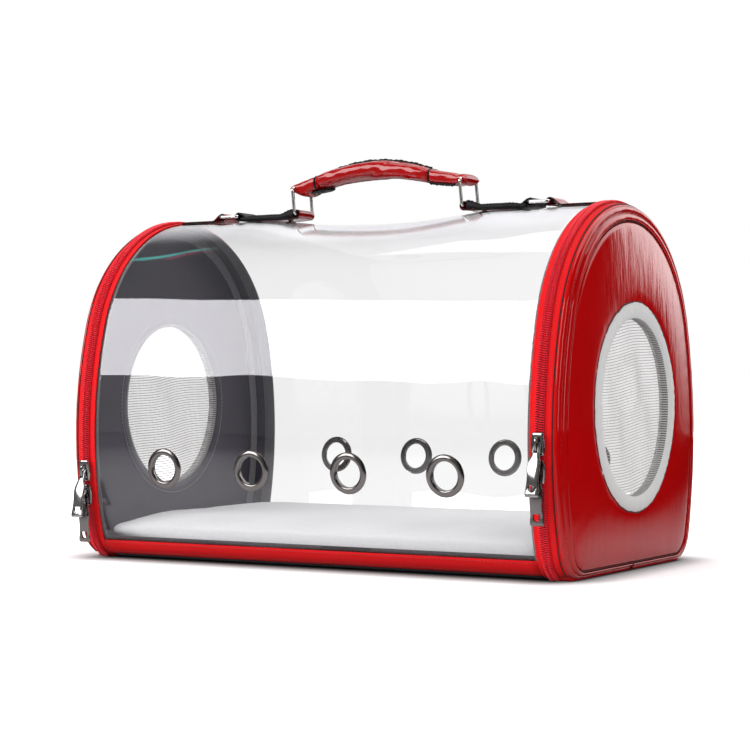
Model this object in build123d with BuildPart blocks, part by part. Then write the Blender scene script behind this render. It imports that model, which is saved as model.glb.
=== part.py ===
from build123d import *
from math import asin, atan2, cos, degrees, radians, sin, sqrt
import os

# Pet handbag carrier: a clear arched body between two zipped end doors.
# Millimetres. X runs along the length, -Y is the front, +Z is up, and the
# origin is at the middle of the underside.

# Arch outline, seen from an end
HEIGHT = 280.0
HALF_DEPTH = 132.0
WIDEST_Z = 101.5
TOP_NARROWING = 8.0
CORNER_RADIUS = 28.5

# Clear body sheet and the base under it
SHEET_HALF_LENGTH = 198.0
SHEET_T = 1.0
SHEET_LOW_Z = 10.0
COVER_T = 1.0
BOARD_T = 3.0
BOARD_EDGE_CLEAR = 1.0
STRIP_LOW_Z = 4.0
STRIP_HIGH_Z = 16.0
STRIP_T = 0.8
BINDING_WIDTH = 4.0
BINDING_T = 1.0

# Floor pad
PAD_END_CLEAR = 3.0
PAD_SIDE_REACH = 23.0
PAD_EDGE_T = 20.0
PAD_CROWN = 8.0
PAD_LIFT = 0.3
PAD_CORNER_R = 12.0
PAD_STEPS = ((0.0, 12.0), (0.22, 5.0), (0.5, 1.0), (0.8, 0.0), (1.0, 2.5))
CROWN_STEPS = ((0.5, 14.0), (0.85, 26.0), (1.0, 42.0))

# Zipper on each end of the arch
ZIP_OUT = 6.6
CHAIN_GAP = 1.4
COIL_WIDTH = 3.2
COIL_H = 2.4
TAPE_T = 0.8
TAPE_OVERLAP = 2.0
TAPE_FLAT_OUT = 11.0
TAPE_OUTER_OUT = 17.5
TAPE_SLOPE = 2.0
CHAIN_LOW_Z = 3.4
BODY_CHAIN_LOW_Z = 1.4

# End door, from the zipper outwards
RIM_OUT = 21.3
RIM_T = 1.5
RIM_EDGE_INSET = 1.2
RIM_INSET = 12.5
RIM_LOW_Z = 1.5
RIM_HIGH_Z = 4.9
RIM_CORNER_R = 27.0
GROOVE_CORNER_R = 22.0
CORD_T = 1.4
CORD_DROP = 0.6
CORD_OVERLAP = 1.0
FOLD_OUT = 20.5
PANEL_INSET = 14.2
PANEL_LOW_Z = 6.5
PANEL_CORNER_R = 20.5
PANEL_BACK_OUT = 18.0
PANEL_EDGE_OUT = 20.8
PANEL_CROWN = 2.2
PANEL_CROWN_WIDTH = 30.0
PANEL_CROWN_STEPS = ((0.0, 0.0), (0.15, 0.45), (0.45, 0.8), (1.0, 1.0))
LINING_T = 1.8
LINING_INSET = 7.8
LINING_LOW_Z = 4.0
LINING_CORNER_R = 24.0
FELT_T = 1.4
FELT_INSET = 2.2
FELT_LOW_Z = 2.6
FELT_WIDTH = 9.0
HINGE_STRIP_T = 1.0
HINGE_GAP = 0.4

# Oval mesh window in each door
WINDOW_Z = 124.5
WINDOW_RY = 64.5
WINDOW_RZ = 68.0
RING_WIDTH = 13.0
RING_H = 2.8
RING_CROWN_STEPS = ((1.0, 0.0), (0.85, 0.5), (0.6, 0.9), (0.3, 1.0), (0.0, 0.95))
SLEEVE_T = 1.6
NET_T = 0.8
NET_OUT = 18.4
NET_PITCH = 12.0
NET_THREAD = 1.5

# Breathing eyelets, four in each wall
EYELET_FRONT_Z = 75.0
EYELET_REAR_Z = 78.0
EYELET_X = (-127.0, -44.0, 44.0, 127.0)
EYELET_HOLE_R = 10.8
EYELET_FLANGE_R = 16.0
EYELET_FLANGE_T = 1.7
EYELET_BARREL_T = 0.8
WASHER_R = 14.5
WASHER_T = 0.9
WASHER_CLEAR = 0.065

# Zipper sliders, two on the front of each end
SLIDER_LENGTH = 17.0
SLIDER_WIDTH = 11.4
SLIDER_TAIL_WIDTH = 8.8
SLIDER_PLATE_T = 1.2
SLIDER_CLEAR = 0.4
POST_T = 0.7
BAIL_LENGTH = 10.0
BAIL_H = 3.8
BAIL_WIDTH = 2.2
BAIL_T = 1.2
PULL_LENGTH = 38.0
PULL_TOP_WIDTH = 6.6
PULL_WIDTH = 11.0
PULL_T = 1.5
PULL_EYE_LENGTH = 8.2
PULL_SIDE_CLEAR = 0.5
PULL_BAR_R = 0.8
PULL_HOLE_R = 3.2
UPPER_PULL_TILT = 12.5
LOWER_PULL_TILT = 0.0
SLIDER_Z = {"right": (99.5, 80.0), "left": (72.0, 52.5)}

# Straps, rings and tabs on the top of the sheet
STRAP_WIDTH = 23.6
STRAP_T = 2.2
TAB_WIDTH = 23.6
RING_X = 79.0
RING_WIRE_R = 1.4
RING_WIDTH_Y = 31.0
RING_HEIGHT = 21.5
RING_CORNER_R = 2.2
RING_LEAN = 5.5
EYE_R = 1.9
EYE_WALL = 2.1
EYE_LIFT = 0.3
SHOULDER_RING_X = 137.5
SHOULDER_RING_LENGTH = 17.0
RIVET_X = (92.0, 124.0)
RIVET_R = 2.0
RIVET_HEAD_R = 4.5
RIVET_HEAD_T = 1.4
RIVET_TAPER = 30.0
RIVET_SEAT = 0.1

# Handle grip and its ends
GRIP_LEFT_X = -61.0
GRIP_RIGHT_X = 46.0
GRIP_WIDTH = 25.0
GRIP_H = 15.7
GRIP_END_H = 11.5
GRIP_ROUND = 0.45
GRIP_SECTIONS = 7
GRIP_RISE = 45.5
GRIP_END_RISE = 29.8
END_WIDTH = 22.0
TONGUE_TIP_X = -48.0
TONGUE_WIDTH = 14.0
TONGUE_T = 2.0
END_RIVET_INSET = 4.0

# Worked-out sizes of the outline
top_radius = HALF_DEPTH - TOP_NARROWING
rise = HEIGHT - top_radius - WIDEST_Z
side_radius = (HALF_DEPTH**2 + rise**2 - top_radius**2) / (2 * (HALF_DEPTH - top_radius))
side_y = side_radius - HALF_DEPTH
top_z = HEIGHT - top_radius
high_angle = degrees(atan2(rise, side_y))

# Places counted from the ends of the sheet, the top and the walls
EYELET_ROWS = ((True, EYELET_FRONT_Z), (False, EYELET_REAR_Z))
zip_x = SHEET_HALF_LENGTH + ZIP_OUT
tape_inner_x = SHEET_HALF_LENGTH - TAPE_OVERLAP
tape_flat_x = SHEET_HALF_LENGTH + TAPE_FLAT_OUT
tape_outer_x = SHEET_HALF_LENGTH + TAPE_OUTER_OUT
rim_x = SHEET_HALF_LENGTH + RIM_OUT
fold_x = SHEET_HALF_LENGTH + FOLD_OUT
panel_back_x = SHEET_HALF_LENGTH + PANEL_BACK_OUT
panel_edge_x = SHEET_HALF_LENGTH + PANEL_EDGE_OUT
net_x = SHEET_HALF_LENGTH + NET_OUT
pad_half_length = SHEET_HALF_LENGTH - PAD_END_CLEAR
grip_top_z = HEIGHT + GRIP_RISE
grip_end_z = HEIGHT + GRIP_END_RISE
washer_drop = WASHER_R**2 / (2 * side_radius) + WASHER_CLEAR

os.makedirs("parts", exist_ok=True)


def save(part, name):
    """Label a finished piece and write its STEP file."""
    part.label = name
    export_step(part, f"parts/{name}.step")


def corner_centre(inset, bottom_z, corner_r):
    """Centre of the lower corner arc that meets the side arc and the bottom line."""
    z = bottom_z + corner_r
    reach = side_radius - inset - corner_r
    return sqrt(reach**2 - (WIDEST_Z - z)**2) - side_y, z


floor_half_width = corner_centre(0, 0, CORNER_RADIUS)[0]
board_half_width = floor_half_width - BOARD_EDGE_CLEAR
pad_half_width = floor_half_width + PAD_SIDE_REACH


def low_angle(inset, bottom_z, corner_r):
    """Angle below level at which the side arc hands over to the corner arc."""
    z = bottom_z + corner_r
    return degrees(asin((WIDEST_Z - z) / (side_radius - inset - corner_r)))


def arch(inset=0.0, bottom_z=None, corner_r=None, mode=Mode.ADD):
    """Closed end outline, drawn inwards by inset, as a face in the current sketch."""
    floor_z = inset if bottom_z is None else bottom_z
    radius = CORNER_RADIUS - inset if corner_r is None else corner_r
    y, z = corner_centre(inset, floor_z, radius)
    low = low_angle(inset, floor_z, radius)
    side = side_radius - inset
    with BuildLine() as outline:
        CenterArc((-y, z), radius, 270, -(90 - low))
        CenterArc((side_y, WIDEST_Z), side, 180 + low, -(low + high_angle))
        CenterArc((0, top_z), top_radius - inset, 180 - high_angle, -(180 - 2 * high_angle))
        CenterArc((-side_y, WIDEST_Z), side, high_angle, -(low + high_angle))
        CenterArc((y, z), radius, -low, -(90 - low))
        Line((y, floor_z), (-y, floor_z))
    make_face(outline.edges(), mode=mode)


def arch_path(low_z):
    """Line over the arch on the outline, from low_z at the front to low_z at the back."""
    y, z = corner_centre(0, 0, CORNER_RADIUS)
    low = low_angle(0, 0, CORNER_RADIUS)
    start = degrees(asin((CORNER_RADIUS - low_z) / CORNER_RADIUS))
    with BuildLine(Plane.YZ) as path:
        CenterArc((-y, z), CORNER_RADIUS, 180 + start, low - start)
        CenterArc((side_y, WIDEST_Z), side_radius, 180 + low, -(low + high_angle))
        CenterArc((0, top_z), top_radius, 180 - high_angle, -(180 - 2 * high_angle))
        CenterArc((-side_y, WIDEST_Z), side_radius, high_angle, -(low + high_angle))
        CenterArc((y, z), CORNER_RADIUS, -low, low - start)
    return path


def band(points, low_z):
    """Strip of the given section, as (x, inset) points, carried over the arch."""
    path = arch_path(low_z)
    start = Plane(origin=path.wire() @ 0, x_dir=(1, 0, 0), z_dir=path.wire() % 0)
    with BuildPart() as strip:
        with BuildSketch(start) as section:
            with BuildLine():
                Polyline(*points, close=True)
            make_face()
        sweep(section.sketch, path=path.wire())
    return strip


def wall_angle(z):
    """Angle above level of the outward normal of the side wall at height z."""
    return degrees(asin((z - WIDEST_Z) / side_radius))


def wall_plane(x, z, front=True):
    """Plane on the wall at height z: local x along X, local z outwards."""
    angle = radians(wall_angle(z))
    y = side_radius * cos(angle) - side_y
    sign = -1 if front else 1
    return Plane(origin=(x, sign * y, z), x_dir=(1, 0, 0), z_dir=(0, sign * cos(angle), sin(angle)))


# Clear body sheet, one bent sheet with eyelet holes and rivet holes
with BuildPart() as clear_body_sheet:
    with BuildSketch(Plane.YZ):
        arch()
        arch(SHEET_T, mode=Mode.SUBTRACT)
        with Locations((0, SHEET_LOW_Z / 2)):
            Rectangle(3 * HALF_DEPTH, SHEET_LOW_Z, mode=Mode.SUBTRACT)
    extrude(amount=SHEET_HALF_LENGTH, both=True)
    for front, z in EYELET_ROWS:
        for x in EYELET_X:
            with BuildSketch(wall_plane(x, z, front).offset(-HALF_DEPTH / 4)):
                Circle(EYELET_HOLE_R + EYELET_BARREL_T)
            extrude(amount=HALF_DEPTH / 2, mode=Mode.SUBTRACT)
    for x in RIVET_X:
        with BuildSketch(Plane.XY.offset(top_z)):
            with Locations((x, 0), (-x, 0)):
                Circle(RIVET_R)
        extrude(amount=HEIGHT, mode=Mode.SUBTRACT)
save(clear_body_sheet.part, "clear_body_sheet")

# Base: fabric cover, stiff board and the two red edge strips
with BuildPart() as base_cover:
    with BuildSketch(Plane.YZ):
        arch()
        arch(COVER_T, mode=Mode.SUBTRACT)
        with Locations((0, SHEET_LOW_Z + HEIGHT)):
            Rectangle(3 * HALF_DEPTH, 2 * HEIGHT, mode=Mode.SUBTRACT)
    extrude(amount=SHEET_HALF_LENGTH, both=True)
save(base_cover.part, "base_cover")

with BuildPart() as base_board:
    with BuildSketch(Plane.XY.offset(COVER_T)):
        RectangleRounded(2 * SHEET_HALF_LENGTH, 2 * board_half_width, CORNER_RADIUS / 4)
    extrude(amount=BOARD_T)
save(base_board.part, "base_board")

for name, side in (("front", -1), ("rear", 1)):
    with BuildPart() as bottom_strip:
        with BuildSketch(Plane.YZ):
            arch(-STRIP_T)
            arch(mode=Mode.SUBTRACT)
            with Locations((0, STRIP_HIGH_Z + HEIGHT)):
                Rectangle(3 * HALF_DEPTH, 2 * HEIGHT, mode=Mode.SUBTRACT)
            with Locations((0, STRIP_LOW_Z - HEIGHT)):
                Rectangle(3 * HALF_DEPTH, 2 * HEIGHT, mode=Mode.SUBTRACT)
            with Locations((-side * HALF_DEPTH, 0)):
                Rectangle(2 * HALF_DEPTH, HEIGHT, mode=Mode.SUBTRACT)
        extrude(amount=tape_inner_x, both=True)
    save(bottom_strip.part, f"{name}_bottom_strip")

# Floor pad, a thick cushion with a low crown and drawn-in sides
pad_z = COVER_T + BOARD_T + PAD_LIFT
with BuildPart() as floor_pad:
    for share, draw in PAD_STEPS:
        with BuildSketch(Plane.XY.offset(pad_z + share * PAD_EDGE_T)):
            RectangleRounded(2 * (pad_half_length - draw), 2 * (pad_half_width - draw), PAD_CORNER_R)
    for share, draw in CROWN_STEPS:
        with BuildSketch(Plane.XY.offset(pad_z + PAD_EDGE_T + share * PAD_CROWN)):
            RectangleRounded(2 * (pad_half_length - draw), 2 * (pad_half_width - draw), PAD_CORNER_R)
    loft(ruled=True)
save(floor_pad.part, "floor_pad")

# Eyelets: a crowned flange outside, a barrel through the sheet and a washer behind
barrel_r = EYELET_HOLE_R + EYELET_BARREL_T
barrel_low = -SHEET_T - washer_drop - WASHER_T
with BuildPart() as eyelets:
    for front, z in EYELET_ROWS:
        for x in EYELET_X:
            wall = wall_plane(x, z, front)
            with BuildSketch(Plane(origin=wall.origin, x_dir=wall.x_dir, z_dir=-wall.y_dir)):
                with BuildLine():
                    Polyline(
                        (EYELET_HOLE_R, barrel_low),
                        (barrel_r, barrel_low),
                        (barrel_r, 0),
                        (EYELET_FLANGE_R, 0),
                        (EYELET_FLANGE_R, EYELET_FLANGE_T / 3),
                        (barrel_r + (EYELET_FLANGE_R - barrel_r) / 2, EYELET_FLANGE_T),
                        (barrel_r, EYELET_FLANGE_T),
                        (EYELET_HOLE_R, EYELET_FLANGE_T / 3),
                        close=True,
                    )
                make_face()
            revolve(axis=Axis(wall.origin, wall.z_dir))
save(eyelets.part, "eyelets")

with BuildPart() as eyelet_washers:
    for front, z in EYELET_ROWS:
        for x in EYELET_X:
            with BuildSketch(wall_plane(x, z, front).offset(barrel_low)):
                Circle(WASHER_R)
                Circle(barrel_r, mode=Mode.SUBTRACT)
            extrude(amount=WASHER_T)
save(eyelet_washers.part, "eyelet_washers")

# Zipper tapes, coil halves, bindings and hinge strips at both ends
for name, side in (("left", -1), ("right", 1)):
    inner_edge = zip_x - CHAIN_GAP / 2
    outer_edge = zip_x + CHAIN_GAP / 2

    body_tape = band(
        (
            (side * tape_inner_x, 0),
            (side * tape_inner_x, -TAPE_T),
            (side * inner_edge, -TAPE_T),
            (side * inner_edge, 0),
        ),
        BODY_CHAIN_LOW_Z,
    )
    save(body_tape.part, f"{name}_body_tape")

    body_coil = band(
        (
            (side * (inner_edge - COIL_WIDTH), -TAPE_T),
            (side * (inner_edge - COIL_WIDTH + COIL_H / 4), -TAPE_T - COIL_H),
            (side * (inner_edge - COIL_H / 4), -TAPE_T - COIL_H),
            (side * inner_edge, -TAPE_T),
        ),
        CHAIN_LOW_Z,
    )
    save(body_coil.part, f"{name}_body_coil")

    body_binding = band(
        (
            (side * (SHEET_HALF_LENGTH - BINDING_WIDTH), SHEET_T),
            (side * (SHEET_HALF_LENGTH - BINDING_WIDTH), SHEET_T + BINDING_T),
            (side * SHEET_HALF_LENGTH, SHEET_T + BINDING_T),
            (side * SHEET_HALF_LENGTH, SHEET_T),
        ),
        SHEET_LOW_Z,
    )
    save(body_binding.part, f"{name}_body_binding")

    door_tape = band(
        (
            (side * outer_edge, 0),
            (side * outer_edge, -TAPE_T),
            (side * tape_flat_x, -TAPE_T),
            (side * tape_outer_x, TAPE_SLOPE - TAPE_T),
            (side * tape_outer_x, TAPE_SLOPE),
            (side * tape_flat_x, 0),
        ),
        CHAIN_LOW_Z,
    )
    save(door_tape.part, f"{name}_door_tape")

    door_coil = band(
        (
            (side * outer_edge, -TAPE_T),
            (side * (outer_edge + COIL_H / 4), -TAPE_T - COIL_H),
            (side * (outer_edge + COIL_WIDTH - COIL_H / 4), -TAPE_T - COIL_H),
            (side * (outer_edge + COIL_WIDTH), -TAPE_T),
        ),
        CHAIN_LOW_Z,
    )
    save(door_coil.part, f"{name}_door_coil")

    with BuildPart() as hinge_strip:
        with BuildSketch(Plane.YZ.offset(side * SHEET_HALF_LENGTH)):
            arch()
            arch(HINGE_STRIP_T, mode=Mode.SUBTRACT)
            with Locations((0, BODY_CHAIN_LOW_Z - HINGE_GAP + HEIGHT)):
                Rectangle(3 * HALF_DEPTH, 2 * HEIGHT, mode=Mode.SUBTRACT)
        extrude(amount=side * (tape_outer_x - HINGE_GAP - SHEET_HALF_LENGTH))
    save(hinge_strip.part, f"{name}_hinge_strip")

# End doors: rim, groove cord, face panel, lining, felt edge and the mesh window
for name, side in (("left", -1), ("right", 1)):
    with BuildPart() as door_rim:
        for inset, bottom, radius, x in (
            (RIM_EDGE_INSET, RIM_LOW_Z, RIM_CORNER_R, tape_outer_x),
            (RIM_INSET, RIM_HIGH_Z, GROOVE_CORNER_R, rim_x),
        ):
            with BuildSketch(Plane.YZ.offset(side * x)):
                arch(inset, bottom, radius)
        loft(ruled=True)
        for inset, bottom, radius, x in (
            (RIM_EDGE_INSET, RIM_LOW_Z, RIM_CORNER_R, tape_outer_x - RIM_T),
            (RIM_INSET, RIM_HIGH_Z, GROOVE_CORNER_R, rim_x - RIM_T),
        ):
            with BuildSketch(Plane.YZ.offset(side * x)):
                arch(inset, bottom, radius)
        loft(ruled=True, mode=Mode.SUBTRACT)
        with BuildSketch(Plane.YZ):
            arch(RIM_INSET, RIM_HIGH_Z, GROOVE_CORNER_R)
        extrude(amount=side * 2 * rim_x, mode=Mode.SUBTRACT)
    save(door_rim.part, f"{name}_door_rim")

    fold_r = (PANEL_LOW_Z - RIM_HIGH_Z) / 2
    fold_y = corner_centre(RIM_INSET, RIM_HIGH_Z, GROOVE_CORNER_R)[0]
    with BuildPart() as groove_cord:
        with BuildSketch(Plane.YZ.offset(side * (rim_x - RIM_T - CORD_DROP))):
            arch(RIM_INSET, RIM_HIGH_Z, GROOVE_CORNER_R)
            arch(PANEL_INSET, PANEL_LOW_Z, PANEL_CORNER_R, mode=Mode.SUBTRACT)
            Rectangle(2 * fold_y - 2 * CORD_OVERLAP, 2 * PANEL_LOW_Z, mode=Mode.SUBTRACT)
        extrude(amount=side * CORD_T)
        with Locations(Location((side * fold_x, 0, RIM_HIGH_Z + fold_r), (90, 0, 0))):
            Cylinder(fold_r, 2 * fold_y)
    save(groove_cord.part, f"{name}_groove_cord")

    with BuildPart() as face_panel:
        with BuildSketch(Plane.YZ.offset(side * panel_back_x)):
            arch(PANEL_INSET, PANEL_LOW_Z, PANEL_CORNER_R)
        extrude(amount=side * (panel_edge_x - panel_back_x))
        for share, rise_share in PANEL_CROWN_STEPS:
            inset = PANEL_INSET + share * PANEL_CROWN_WIDTH
            with BuildSketch(Plane.YZ.offset(side * (panel_edge_x + rise_share * PANEL_CROWN))):
                arch(inset, PANEL_LOW_Z + inset - PANEL_INSET, PANEL_CORNER_R * (1 - share / 2))
        loft(ruled=True)
        with BuildSketch(Plane.YZ):
            with Locations((0, WINDOW_Z)):
                Ellipse(WINDOW_RY + SLEEVE_T, WINDOW_RZ + SLEEVE_T)
        extrude(amount=side * 2 * rim_x, mode=Mode.SUBTRACT)
    save(face_panel.part, f"{name}_face_panel")

    with BuildPart() as face_lining:
        with BuildSketch(Plane.YZ.offset(side * panel_back_x)):
            arch(LINING_INSET, LINING_LOW_Z, LINING_CORNER_R)
            with Locations((0, WINDOW_Z)):
                Ellipse(WINDOW_RY + SLEEVE_T, WINDOW_RZ + SLEEVE_T, mode=Mode.SUBTRACT)
        extrude(amount=-side * LINING_T)
    save(face_lining.part, f"{name}_face_lining")

    with BuildPart() as lining_binding:
        with BuildSketch(Plane.YZ.offset(side * (panel_back_x - LINING_T))):
            arch(FELT_INSET, FELT_LOW_Z, LINING_CORNER_R)
            arch(
                FELT_INSET + FELT_WIDTH,
                FELT_LOW_Z + FELT_WIDTH,
                LINING_CORNER_R - FELT_WIDTH / 2,
                mode=Mode.SUBTRACT,
            )
        extrude(amount=-side * FELT_T)
    save(lining_binding.part, f"{name}_lining_binding")

    face_x = panel_edge_x + PANEL_CROWN
    with BuildPart() as window_ring:
        with BuildSketch(Plane.YZ.offset(side * (panel_back_x - LINING_T))):
            with Locations((0, WINDOW_Z)):
                Ellipse(WINDOW_RY + SLEEVE_T, WINDOW_RZ + SLEEVE_T)
        extrude(amount=side * (face_x - panel_back_x + LINING_T))
        for share, rise_share in RING_CROWN_STEPS:
            with BuildSketch(Plane.YZ.offset(side * (face_x + rise_share * RING_H))):
                with Locations((0, WINDOW_Z)):
                    grow = SLEEVE_T + share * (RING_WIDTH - SLEEVE_T)
                    Ellipse(WINDOW_RY + grow, WINDOW_RZ + grow)
        loft(ruled=True)
        with BuildSketch(Plane.YZ):
            with Locations((0, WINDOW_Z)):
                Ellipse(WINDOW_RY, WINDOW_RZ)
        extrude(amount=side * 2 * rim_x, mode=Mode.SUBTRACT)
    save(window_ring.part, f"{name}_window_ring")

    cell_r = (NET_PITCH - NET_THREAD) / sqrt(3)
    row_pitch = NET_PITCH * sqrt(3) / 2
    rows = int(WINDOW_RZ / row_pitch)
    columns = int(WINDOW_RY / NET_PITCH) + 1
    with BuildPart() as window_net:
        with BuildSketch(Plane.YZ.offset(side * net_x)):
            with Locations((0, WINDOW_Z)):
                Ellipse(WINDOW_RY, WINDOW_RZ)
            for row in range(-rows, rows + 1):
                for column in range(-columns, columns + 1):
                    y = (column + (row % 2) / 2) * NET_PITCH
                    z = row * row_pitch
                    reach = (y / (WINDOW_RY - cell_r - NET_THREAD))**2
                    reach += (z / (WINDOW_RZ - cell_r - NET_THREAD))**2
                    if reach < 1:
                        with Locations((y, WINDOW_Z + z)):
                            RegularPolygon(cell_r, 6, rotation=30, mode=Mode.SUBTRACT)
        extrude(amount=side * NET_T)
    save(window_net.part, f"{name}_window_net")


# Straps, shoulder rings and tabs along the top of the sheet
eye_z = HEIGHT + EYE_LIFT + EYE_R + EYE_WALL
for name, side in (("left", -1), ("right", 1)):
    with BuildPart() as top_strap:
        with BuildSketch(Plane.YZ.offset(side * RING_X)):
            arch(-STRAP_T)
            arch(mode=Mode.SUBTRACT)
            with Locations((0, top_z)):
                Rectangle(STRAP_WIDTH, 2 * HEIGHT, mode=Mode.INTERSECT)
            with Locations((0, 0)):
                Rectangle(3 * HALF_DEPTH, HEIGHT, mode=Mode.SUBTRACT)
        extrude(amount=side * (SHOULDER_RING_X - RING_X))
        with BuildSketch(Plane.XZ):
            with Locations((side * RING_X, eye_z), (side * SHOULDER_RING_X, eye_z)):
                Circle(EYE_R + EYE_WALL)
        extrude(amount=STRAP_WIDTH / 2, both=True)
        with BuildSketch(Plane.XZ):
            with Locations((side * RING_X, eye_z)):
                Circle(EYE_R)
            with Locations((side * SHOULDER_RING_X, eye_z)):
                Circle(RING_WIRE_R)
        extrude(amount=STRAP_WIDTH, both=True, mode=Mode.SUBTRACT)
        with BuildSketch(Plane.XY.offset(top_z)):
            with Locations(*[(side * x, 0) for x in RIVET_X]):
                Circle(RIVET_R)
        extrude(amount=HEIGHT, mode=Mode.SUBTRACT)
    save(top_strap.part, f"{name}_top_strap")

    with BuildPart() as shoulder_ring:
        with BuildLine(Plane.XY.offset(eye_z)) as ring_path:
            middle = side * (SHOULDER_RING_X + SHOULDER_RING_LENGTH / 2)
            half_x = SHOULDER_RING_LENGTH / 2
            half_y = RING_WIDTH_Y / 2 - RING_WIRE_R
            corners = (
                (middle - half_x, -half_y),
                (middle + half_x, -half_y),
                (middle + half_x, half_y),
                (middle - half_x, half_y),
            )
            FilletPolyline(*corners, radius=RING_CORNER_R, close=True)
        with BuildSketch(Plane(origin=ring_path.wire() @ 0, z_dir=ring_path.wire() % 0)):
            Circle(RING_WIRE_R)
        sweep(path=ring_path.wire())
    save(shoulder_ring.part, f"{name}_shoulder_ring")

    with BuildPart() as ring_tab:
        tab_x = SHOULDER_RING_X + SHOULDER_RING_LENGTH
        with BuildSketch(Plane.YZ.offset(side * tab_x)):
            arch(-STRAP_T)
            arch(mode=Mode.SUBTRACT)
            with Locations((0, top_z)):
                Rectangle(TAB_WIDTH, 2 * HEIGHT, mode=Mode.INTERSECT)
            with Locations((0, 0)):
                Rectangle(3 * HALF_DEPTH, HEIGHT, mode=Mode.SUBTRACT)
        extrude(amount=side * (tape_inner_x - tab_x))
        with BuildSketch(Plane.XZ):
            with Locations((side * tab_x, eye_z)):
                Circle(EYE_R + EYE_WALL)
        extrude(amount=TAB_WIDTH / 2, both=True)
        with BuildSketch(Plane.XZ):
            with Locations((side * tab_x, eye_z)):
                Circle(RING_WIRE_R)
        extrude(amount=TAB_WIDTH, both=True, mode=Mode.SUBTRACT)
    save(ring_tab.part, f"{name}_ring_tab")

    with BuildPart() as strap_rivets:
        for x in RIVET_X:
            with BuildSketch(Plane.XY.offset(HEIGHT - SHEET_T - RIVET_SEAT - RIVET_HEAD_T)):
                with Locations((side * x, 0)):
                    Circle(RIVET_HEAD_R)
            extrude(amount=RIVET_HEAD_T)
            with BuildSketch(Plane.XY.offset(HEIGHT - SHEET_T - RIVET_SEAT)):
                with Locations((side * x, 0)):
                    Circle(RIVET_R)
            extrude(amount=SHEET_T + RIVET_SEAT + STRAP_T)
            with BuildSketch(Plane.XY.offset(HEIGHT + STRAP_T)):
                with Locations((side * x, 0)):
                    Circle(RIVET_HEAD_R)
            extrude(amount=RIVET_HEAD_T, taper=RIVET_TAPER)
    save(strap_rivets.part, f"{name}_strap_rivets")

# Handle: two rings that lean together, and the padded grip carried between them
lean = radians(RING_LEAN)
bar_z = eye_z + RING_HEIGHT * cos(lean)
for name, side in (("left", -1), ("right", 1)):
    with BuildPart() as handle_ring:
        foot = (side * RING_X, 0, eye_z)
        ring_plane = Plane(origin=foot, x_dir=(0, 1, 0), z_dir=(cos(lean), 0, sin(lean)))
        with BuildLine(ring_plane) as ring_path:
            half_y = RING_WIDTH_Y / 2 - RING_WIRE_R
            corners = ((-half_y, 0), (half_y, 0), (half_y, RING_HEIGHT), (-half_y, RING_HEIGHT))
            FilletPolyline(*corners, radius=RING_CORNER_R, close=True)
        with BuildSketch(Plane(origin=ring_path.wire() @ 0, z_dir=ring_path.wire() % 0)):
            Circle(RING_WIRE_R)
        sweep(path=ring_path.wire())
    save(handle_ring.part, f"{name}_handle_ring")

grip_middle = (GRIP_LEFT_X + GRIP_RIGHT_X) / 2
grip_half = (GRIP_RIGHT_X - GRIP_LEFT_X) / 2


def grip_height(x):
    """Thickness of the padded grip at x."""
    share = (x - grip_middle) / grip_half
    return GRIP_H - (GRIP_H - GRIP_END_H) * share**2


def grip_centre(x):
    """Height of the middle of the padded grip at x."""
    share = (x - grip_middle) / grip_half
    return grip_top_z - GRIP_H / 2 - (grip_top_z - GRIP_H / 2 - grip_end_z) * share**2


with BuildPart() as handle_grip:
    for step in range(GRIP_SECTIONS):
        x = GRIP_LEFT_X + step * 2 * grip_half / (GRIP_SECTIONS - 1)
        with BuildSketch(Plane(origin=(x, 0, grip_centre(x)), x_dir=(0, 1, 0), z_dir=(1, 0, 0))):
            RectangleRounded(GRIP_WIDTH, grip_height(x), GRIP_END_H * GRIP_ROUND)
    loft()
save(handle_grip.part, "handle_grip")

for name, side, end_x in (("left", -1, GRIP_LEFT_X), ("right", 1, GRIP_RIGHT_X)):
    bar_x = side * RING_X - RING_HEIGHT * sin(lean)
    high = grip_centre(end_x) + grip_height(end_x) / 2
    low = grip_centre(end_x) - grip_height(end_x) / 2
    with BuildPart() as handle_end:
        with BuildSketch(Plane.XZ):
            with BuildLine():
                Polyline(
                    (end_x, low),
                    (end_x, high),
                    (bar_x, bar_z + EYE_R + EYE_WALL),
                    (bar_x, bar_z - EYE_R - EYE_WALL),
                    close=True,
                )
            make_face()
            with Locations((bar_x, bar_z)):
                Circle(EYE_R + EYE_WALL)
                Circle(EYE_R, mode=Mode.SUBTRACT)
        extrude(amount=END_WIDTH / 2, both=True)
    save(handle_end.part, f"{name}_handle_end")

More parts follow.
